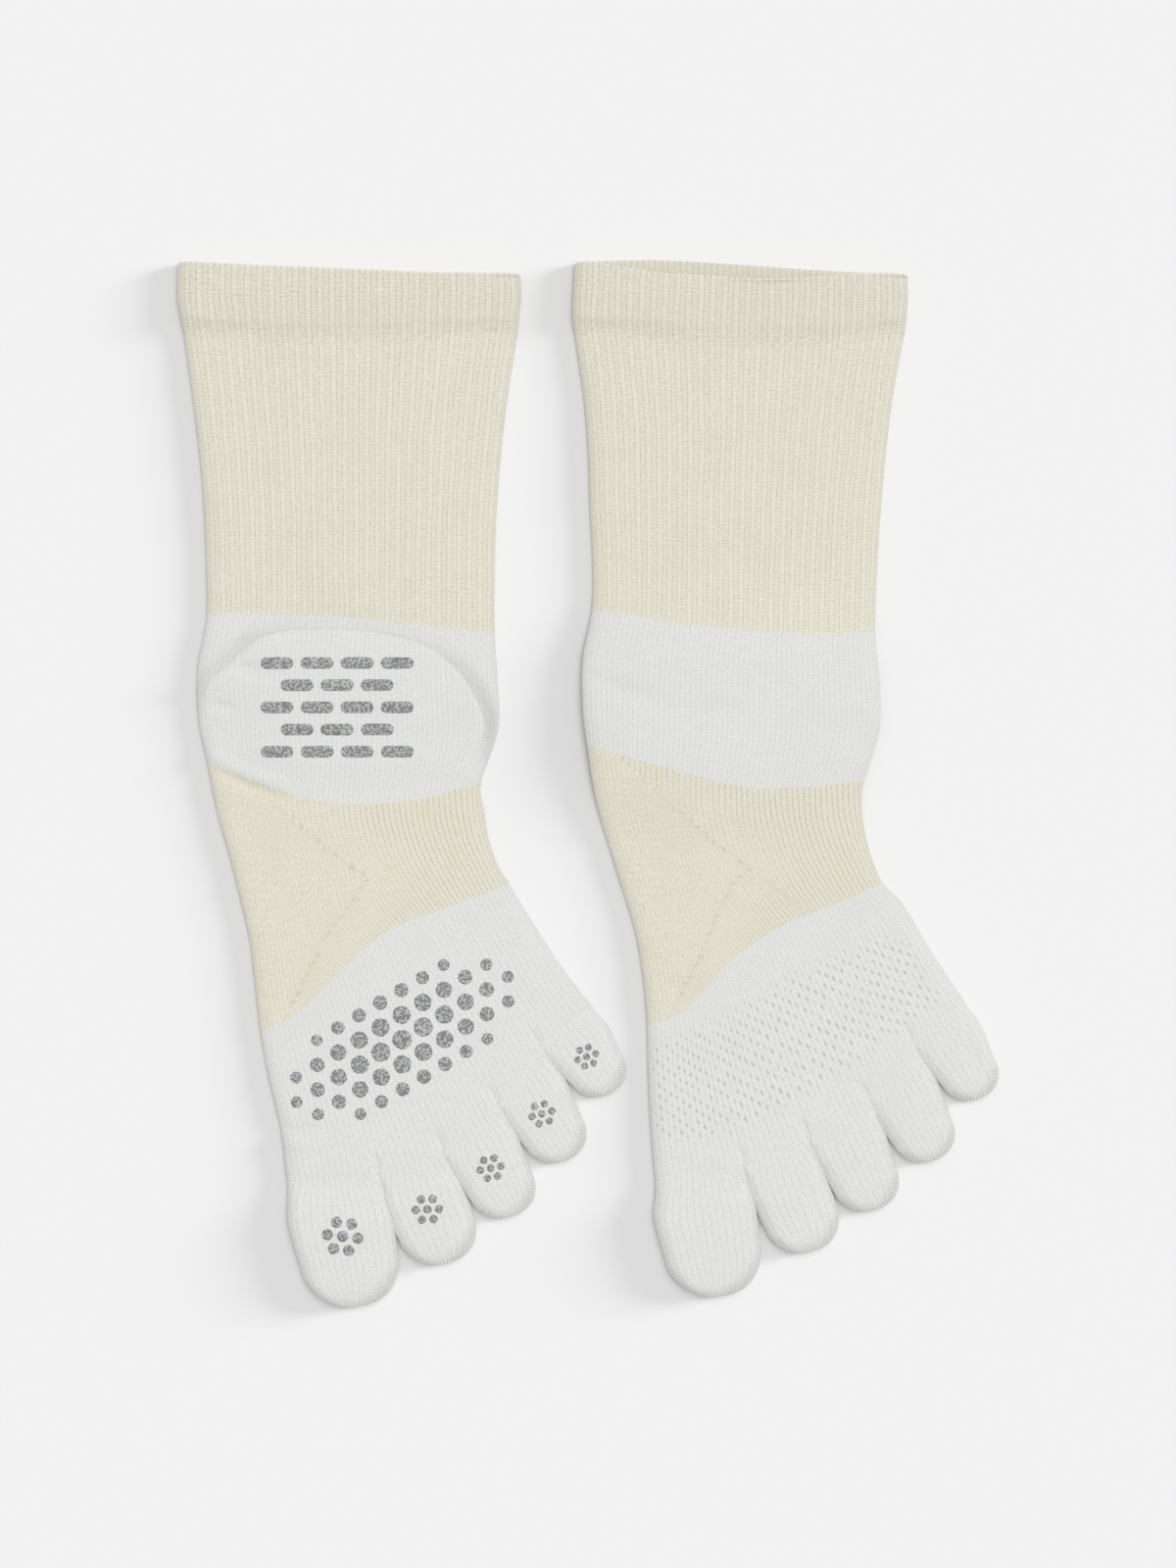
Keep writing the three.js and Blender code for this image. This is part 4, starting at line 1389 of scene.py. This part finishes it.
    def top(self, across: Array, along: Array) -> Array:
        """Height of the upper layer by shares across and along the barrel."""
        distance = along * self.barrel
        height, fold, crown, rounded = self.rises(across, distance)
        inset = np.minimum(across, 1.0 - across) * self.width(along)
        high = (1.0 - SEAT) * height * rounding(inset, fold) * rounded
        return SEAT * height + high + rounded * (crown + self.tube.plan.relief(self.ground(across, along)))

    def build(self) -> bpy.types.Object:
        """The toe as a closed wall.

        Past the barrel a row's half width follows a power of the closing angle's cosine, its power
        lower on the right, where the tip is blunter, and its height follows the cosine to the power 0.4.

        Returns:
            The finished piece.
        """
        plan, toe = self.tube.plan, self.toe
        rows = self.chain()
        turn = np.arange(self.columns) * 2.0 / self.columns
        grid_turn, distance = np.meshgrid(turn, rows[0])
        angle, out = (np.broadcast_to(row[:, None], distance.shape) for row in rows[1:])
        width = self.width(np.clip(distance / self.barrel, 0.0, 1.0))
        height, fold, _, _ = self.rises(np.full_like(distance, 0.5), distance)
        across, z = section(grid_turn, width, height, fold, np.zeros_like(width), out)
        _, _, crown, rounded = self.rises(across, distance)
        side = across - 0.5
        narrowing = np.cos(angle) ** np.where(side < 0, self.left_corner, self.right_corner)
        flat = self.flat(across, distance, narrowing)
        squeeze = np.cos(angle) ** 0.4
        lateral = side * width * narrowing
        # The valleys between the gathers are painted darker as shade, through the shade mask.
        gathers, valley_shade = (part * (out > -0.01) for part in self.ridges(lateral, distance, width))
        middle = SEAT * height
        upper = np.clip((z - middle) / (height - middle), 0.0, 1.0)
        z = middle + (z - middle + self.ridge * gathers * np.sign(z - middle)) * squeeze * rounded
        z = z + upper * rounded * (crown + plan.relief(flat)) * squeeze
        points = self.tube.place(flat, np.maximum(z, 0.0))
        counts_turn = np.concatenate([turn, [2.0]])
        first_wale, last_wale = self.start * WALES_PER_LAYER, self.end * WALES_PER_LAYER
        span = self.wales * (last_wale - first_wale)
        back = 2 * WALES_PER_LAYER - last_wale + span * (counts_turn - 1.0)
        wale = np.where(counts_turn <= 1.0, first_wale + span * counts_turn, back)
        course = self.tube.courses(len(STRETCHES) - 1, np.array([1.0]))[0] + rows[0] / COURSE
        counts = np.stack(np.meshgrid(wale, course), axis=-1)
        name = f"toe_{self.number + 1}_{plan.shape.facing.value}"
        turning = 2 * self.inner_rows
        surface = Surface(
            name, points[:, ::-1], counts[:, ::-1], pole_start=True, pole_end=True,
            sharp_rows=(turning - 1, turning), masks={"shade": valley_shade[:, ::-1]},
        )
        piece = surface.build()
        dress(piece, WHITE_KNIT, name)
        log.info("%s: leans %.1f degrees", name, toe.lean)
        return piece


@dataclass
class HeelPocket:
    """The heel's gored pouch, pressed flat on the sole side of the tube."""

    tube: Tube
    sectors: int = 300
    rings: int = 40
    rim_share: float = 0.45
    fullness: float = 2.3
    middle: tuple[float, float] = POCKET_MIDDLE

    def ground(self, across: Array, along: Array) -> Array:
        """Plan of the ankle by shares across and along."""
        return self.tube.plan.point(ANKLE, across, along)

    def rise(self, spot: Array, radius: Array) -> Array:
        """Share of the fullness by which the pouch stands up.

        Towards the leg it ends in a fold: the root of one less a power of the radius, plus a step that
        overhangs the tube. Both are greater on the right, where the crease is sharp. Towards the foot
        it dies away into the tube with a soft step.

        Args:
            spot: shares across and along the ankle.
            radius: 0 in the pouch's middle and 1 at its rim.

        Returns:
            The rise, 1 where it is full.
        """
        outward = (spot - self.middle) * [1.0, 0.5]
        size = np.maximum(np.linalg.norm(outward, axis=-1), 1e-6)
        crest = smooth(-outward[..., 1] / size, -0.35, 0.3) * smooth(radius, 0.0, 0.5)
        sharp = smooth(outward[..., 0] / size, 0.5, 0.9)
        folded = np.sqrt(np.maximum(1.0 - radius ** (6.0 + 4.0 * sharp), 0.0)) * (0.6 + 0.15 * sharp)
        folded = folded + 0.14 + 0.16 * sharp
        fading = 0.54 - 0.6 * smooth(radius, 0.3, 1.0)
        return mix(fading, folded, crest)

    def top(self, across: Array, along: Array) -> Array:
        """Height of the pouch's upper face: the radius is read from the rim in the spot's direction."""
        rim = Spline(list(POCKET_RIM)).at_length(np.linspace(0.0, 1.0, self.sectors)) - self.middle
        spot = np.stack([across, along], axis=-1)
        away = spot - self.middle
        towards, rim_towards = (np.arctan2(part[..., 1], part[..., 0]) for part in (away, rim))
        reach = np.interp(towards, rim_towards, np.hypot(rim[:, 0], rim[:, 1]), period=2 * math.pi)
        radius = np.hypot(away[..., 0], away[..., 1]) / reach
        return self.tube.top(ANKLE, across, along) + self.fullness * self.rise(spot, radius)

    def build(self) -> bpy.types.Object:
        """The pocket as a closed pad: its underside from the middle out, then its upper face back.

        Returns:
            The finished piece.
        """
        plan = self.tube.plan
        facing = plan.shape.facing
        rim = Spline(list(POCKET_RIM)).at_length(np.linspace(0.0, 1.0, self.sectors, endpoint=False))
        radius_low = np.array([0.0, 0.25, 0.5, 0.75, 0.93])
        radius_high = np.linspace(0.0, 1.0, self.rings) ** 2.2
        radius = np.concatenate([radius_low, 1.0 - radius_high])
        high = np.concatenate([np.zeros(len(radius_low)), np.ones(len(radius_high))])[:, None]
        spot = self.middle + (rim - self.middle)[None] * radius[:, None, None]
        flat = self.ground(spot[..., 0], spot[..., 1])
        if facing is Facing.SOLE_UP:
            rise = self.rise(spot, np.broadcast_to(radius[:, None], spot.shape[:-1]))
            z = self.tube.top(ANKLE, spot[..., 0], spot[..., 1]) + mix(-0.3, self.fullness * rise, high)
        else:
            rounded = np.sqrt(np.maximum(1.0 - radius**10, 0.0))[:, None]
            z = high * (plan.lift(flat) - LAYER_GAP) * mix(self.rim_share, 1.0, rounded)
        points = self.tube.place(flat, z)
        counts = np.stack([wales(spot[..., 0]), self.tube.courses(ANKLE, spot[..., 1])], axis=-1)
        counts = np.concatenate([counts, counts[:, :1]], axis=1)
        name = f"heel_pocket_{facing.value}"
        piece = Surface(name, points[:, ::-1], counts[:, ::-1], pole_start=True, pole_end=True).build()
        dress(piece, WHITE_KNIT, name)
        width = float(plan.width(ANKLE, np.array(0.5)))
        plan.length(ANKLE) * MM
        log.info("%s: folded %s the ankle", name, "over" if facing is Facing.SOLE_UP else "under")
        return piece


@dataclass(frozen=True)
class Motif:
    """One printed spot or bar: its centre, its radius and the half length of its straight part."""

    x: float
    down: float
    radius: float
    half_length: float = 0.0


@dataclass
class GripPrint:
    """Grip print of one sock: bars at the heel, spots on the ball and a ring of dots on each toe."""

    tube: Tube
    sectors: int = 36
    rings: tuple[tuple[float, float], ...] = (
        (0.0, -0.3), (0.97, -0.3), (1.0, 0.06), (0.94, 0.19), (0.75, 0.25), (0.0, 0.26)
    )
    under_share: float = 0.2
    heel: tuple[float, float] = (-3.4, 128.0)
    bar_pitch: float = 11.4
    bar_row: float = 6.3
    ball: tuple[float, float] = (15.0, 222.5)
    ball_lean: float = -30.7
    ball_reach: tuple[float, float] = (37.0, 15.5)
    spot_pitch: float = 7.0
    spot_row: float = 6.1
    bar_size: tuple[float, float] = (1.65, 3.0)
    spot_size: tuple[float, float] = (2.75, 1.15)
    dots_along: float = 0.46
    dot_share: float = 0.055
    dot_ring: float = 2.75

    def heel_bars(self) -> list[Motif]:
        """Five rows of rounded bars, four and three by turns."""
        bars = []
        for row in range(-2, 3):
            count = 3 if row % 2 else 4
            for number in range(count):
                x = self.heel[0] + (number - (count - 1) / 2) * self.bar_pitch
                bars.append(Motif(x, self.heel[1] + row * self.bar_row, *self.bar_size))
        return bars

    def ball_spots(self) -> list[Motif]:
        """Staggered spots inside an ellipse that follows the toes' line, smaller towards its border."""
        lean = math.radians(self.ball_lean)
        spots = []
        for row in range(-3, 4):
            for number in range(-6, 7):
                u, v = (number + 0.5 * (row % 2)) * self.spot_pitch, row * self.spot_row
                spread = (u / self.ball_reach[0]) ** 2 + (v / self.ball_reach[1]) ** 2
                if spread < 1.0:
                    x = self.ball[0] + u * math.cos(lean) - v * math.sin(lean)
                    down = self.ball[1] + u * math.sin(lean) + v * math.cos(lean)
                    spots.append(Motif(x, down, self.spot_size[0] - self.spot_size[1] * spread))
        return spots

    def toe_dots(self, toe: ToeTube) -> list[Motif]:
        """A dot with six dots round it, a little short of half way along the toe."""
        middle = toe.ground(np.array(0.5), np.array(self.dots_along * toe.toe.length / toe.barrel))
        size = self.dot_share * toe.toe.belly
        away = self.dot_ring * size
        ring = [math.radians(60 * k + 15 - toe.toe.lean) for k in range(6)]
        places = [(0.0, 0.0)] + [(away * math.cos(turn), away * math.sin(turn)) for turn in ring]
        return [Motif(middle[0] + x, middle[1] + y, size) for x, y in places]

    def lay(
        self, name: str, motifs: list[Motif], ground: Callable[[Array, Array], Array],
        top: Callable[[Array, Array], Array],
    ) -> bpy.types.Object:
        """Lays motifs on a piece of the sock's sole as low closed pebbles with ragged rims.

        A pebble's rim is a circle, its halves moved apart along a bar, with two sine waves for its
        raggedness. Its rings are the rim shrunk by a share at a height over the cloth.

        Args:
            name: the new piece's name.
            motifs: the spots and bars, in the sock's own plan.
            ground: the cloth's plan by two shares.
            top: the cloth's height by the same shares.

        Returns:
            The finished piece.
        """
        under = self.tube.plan.shape.facing is Facing.INSTEP_UP
        turn = np.arange(self.sectors) * 2 * math.pi / self.sectors
        shrink, height = (np.array(column)[None, :, None] for column in zip(*self.rings))
        number = np.arange(len(motifs))[:, None, None]
        x, down, radius, half_length = (
            np.array([getattr(motif, size) for motif in motifs])[:, None, None]
            for size in ("x", "down", "radius", "half_length")
        )
        ragged = 1.0 + 0.02 * np.sin(5 * turn + 1.7 * number) + 0.015 * np.sin(11 * turn + 2.9 * number)
        apart = np.sign(np.round(np.cos(turn), 6)) * half_length * (shrink > 0)
        u = apart + radius * shrink * ragged * np.cos(turn)
        v = radius * shrink * ragged * np.sin(turn)
        flat = np.stack([x + u, down + v], axis=-1)
        if under:
            z = np.broadcast_to(np.where(height > 0, -self.under_share * height, -height), flat.shape[:-1])
            points = self.tube.place(flat, z)
        else:
            points = self.tube.place(flat, top(*settle(ground, flat)) + height)[:, :, ::-1]
        piece = self._pebbles(name, points)
        dress(piece, GRIP)
        log.info("%s: %d motifs", name, len(motifs))
        return piece

    @staticmethod
    def _pebbles(name: str, points: Array) -> bpy.types.Object:
        """One mesh of all pebbles: a fan at each pole and quads between the rings.

        Args:
            name: the piece's name.
            points: by pebble, ring and sector, the first and last ring being poles.

        Returns:
            The new object.
        """
        count, rings, sectors = points.shape[:3]
        index = np.arange(count * rings * sectors).reshape(count, rings, sectors)
        index[:, 0] = index[:, 0, :1]
        index[:, -1] = index[:, -1, :1]
        after = np.roll(index, -1, axis=2)
        quads = np.stack([index[:, 1:-2], index[:, 2:-1], after[:, 2:-1], after[:, 1:-2]], axis=-1)
        quads = quads.reshape(-1, 4)
        first = np.stack([index[:, 0], index[:, 1], after[:, 1]], axis=-1).reshape(-1, 3)
        last = np.stack([index[:, -2], index[:, -1], after[:, -2]], axis=-1).reshape(-1, 3)
        used = np.unique(index)
        renumber = np.zeros(index.size, int)
        renumber[used] = np.arange(len(used))
        faces = [renumber[part].tolist() for part in (quads, first, last)]
        mesh = bpy.data.meshes.new(name)
        places = (points.reshape(-1, 3)[used] * MM).tolist()
        mesh.from_pydata(places, [], faces[0] + faces[1] + faces[2])
        mesh.shade_smooth()
        piece = bpy.data.objects.new(name, mesh)
        bpy.context.scene.collection.objects.link(piece)
        return piece

    def build(self, pocket: HeelPocket, toes: list[ToeTube]) -> None:
        """Prints the heel, the ball of the foot and the toes.

        Args:
            pocket: the sock's heel pocket.
            toes: its toe tubes.
        """
        shape = self.tube.plan.shape
        side = shape.facing.value
        self.lay(f"grip_heel_{side}", self.heel_bars(), pocket.ground, pocket.top)
        shift_x, shift_down = shape.print_shift
        spots = [Motif(m.x + shift_x, m.down + shift_down, m.radius) for m in self.ball_spots()]
        ground = partial(self.tube.plan.point, FOREFOOT)
        self.lay(f"grip_ball_{side}", spots, ground, partial(self.tube.top, FOREFOOT))
        for toe in toes:
            self.lay(f"grip_toe_{toe.number + 1}_{side}", self.toe_dots(toe), toe.ground, toe.top)


@dataclass
class Sock:
    """One sock: tube, toes and heel pocket."""

    shape: SockShape
    origin: Array

    def build(self) -> None:
        """Builds every piece of the sock."""
        plan = SockPlan(self.shape)
        tube = Tube(plan, self.origin)
        for index in range(len(STRETCHES)):
            tube.build(index)
        toes = [ToeTube(tube, number) for number in range(len(self.shape.toes))]
        for toe in toes:
            toe.build()
        pocket = HeelPocket(tube)
        pocket.build()
        GripPrint(tube).build(pocket, toes)


@dataclass(frozen=True)
class SoftLight:
    """A far light: its strength, how wide it looks and how far it leans to the right, in degrees."""

    energy: float
    width: float
    lean: float


@dataclass
class Studio:
    """Pale floor, soft light from above and from the right, and a camera straight above."""

    floor_size: float = 3.0
    frame_height: float = 0.448
    lens: float = 85.0
    film: float = 36.0
    floor_tone: float = 0.748
    sky: float = 0.55
    light_turn: float = -14.0
    overhead_light: SoftLight = SoftLight(1.35, 45.0, 13.0)
    floor_light: SoftLight = SoftLight(3.1, 17.0, 76.0)

    def build(self) -> None:
        """Builds floor, lights and camera."""
        self.floor()
        self.lights()
        self.camera()
        log.info("studio: camera %.2f m above the floor", self.frame_height * self.lens / self.film)

    def floor(self) -> None:
        """A plain pale floor, level with the undersides."""
        half = self.floor_size / 2
        mesh = bpy.data.meshes.new("floor")
        corners = [(-half, -half, 0), (half, -half, 0), (half, half, 0), (-half, half, 0)]
        mesh.from_pydata(corners, [], [(0, 1, 2, 3)])
        floor = bpy.data.objects.new("floor", mesh)
        bpy.context.scene.collection.objects.link(floor)
        material, _, shader = new_material("pale floor", roughness=0.9, specular=0.0)
        shader.inputs["Base Color"].default_value = (self.floor_tone,) * 3 + (1.0,)
        mesh.materials.append(material)

    def lights(self) -> None:
        """A wide light overhead, a lower one on the right for the floor alone, and an even white sky.

        The low light draws the wide soft shadow beside the socks. It doesn't reach the socks
        themselves, whose sides would throw a bright rim back on the floor.
        """
        self.lamp("overhead light", self.overhead_light)
        floor_only = bpy.data.collections.new("lit by the floor light")
        floor_only.objects.link(bpy.data.objects["floor"])
        self.lamp("floor light", self.floor_light).light_linking.receiver_collection = floor_only
        world = bpy.data.worlds.new("white sky")
        world.use_nodes = True
        background = world.node_tree.nodes["Background"]
        background.inputs["Color"].default_value = (1, 1, 1, 1)
        background.inputs["Strength"].default_value = self.sky
        bpy.context.scene.world = world
        bpy.context.scene.view_settings.view_transform = "Standard"

    def lamp(self, name: str, light: SoftLight) -> bpy.types.Object:
        """Hangs one far light.

        Args:
            name: the lamp's name.
            light: its strength, width and lean.

        Returns:
            The lamp.
        """
        sun = bpy.data.lights.new(name, "SUN")
        sun.energy = light.energy
        sun.angle = math.radians(light.width)
        lamp = bpy.data.objects.new(name, sun)
        lamp.rotation_euler = (math.radians(self.light_turn), math.radians(light.lean), 0)
        bpy.context.scene.collection.objects.link(lamp)
        return lamp

    def camera(self) -> None:
        """A long lens straight above the middle of the pair."""
        lens = bpy.data.cameras.new("camera")
        lens.lens = self.lens
        lens.sensor_width = self.film
        camera = bpy.data.objects.new("camera", lens)
        camera.location = (0.0, 0.0, self.frame_height * self.lens / self.film)
        bpy.context.scene.collection.objects.link(camera)
        bpy.context.scene.camera = camera


def pair_origin() -> Array:
    """Where the pair's own frame starts, in millimetres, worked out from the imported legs."""
    low = np.array(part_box("leg_sole_up")[0]) / MM
    plan = SockPlan(SOLE_UP_SOCK)
    shares = np.linspace(0.0, 1.0, 60)
    left = float(plan.point(LEG, np.zeros(60), shares)[:, 0].min())
    bottom = float(plan.point(LEG, shares, np.ones(60))[:, 1].max())
    return np.array([low[0] - left - SOLE_UP_SOCK.place, low[1] + bottom])


def main() -> None:
    """Builds the studio and both socks."""
    logging.basicConfig(level=logging.INFO, format="%(name)s: %(message)s")
    Studio().build()
    origin = pair_origin()
    log.info("pair's own frame starts at %.2f, %.2f mm", *origin)
    for shape in (SOLE_UP_SOCK, INSTEP_UP_SOCK):
        Sock(shape, origin).build()


if __name__ == "__main__":
    main()
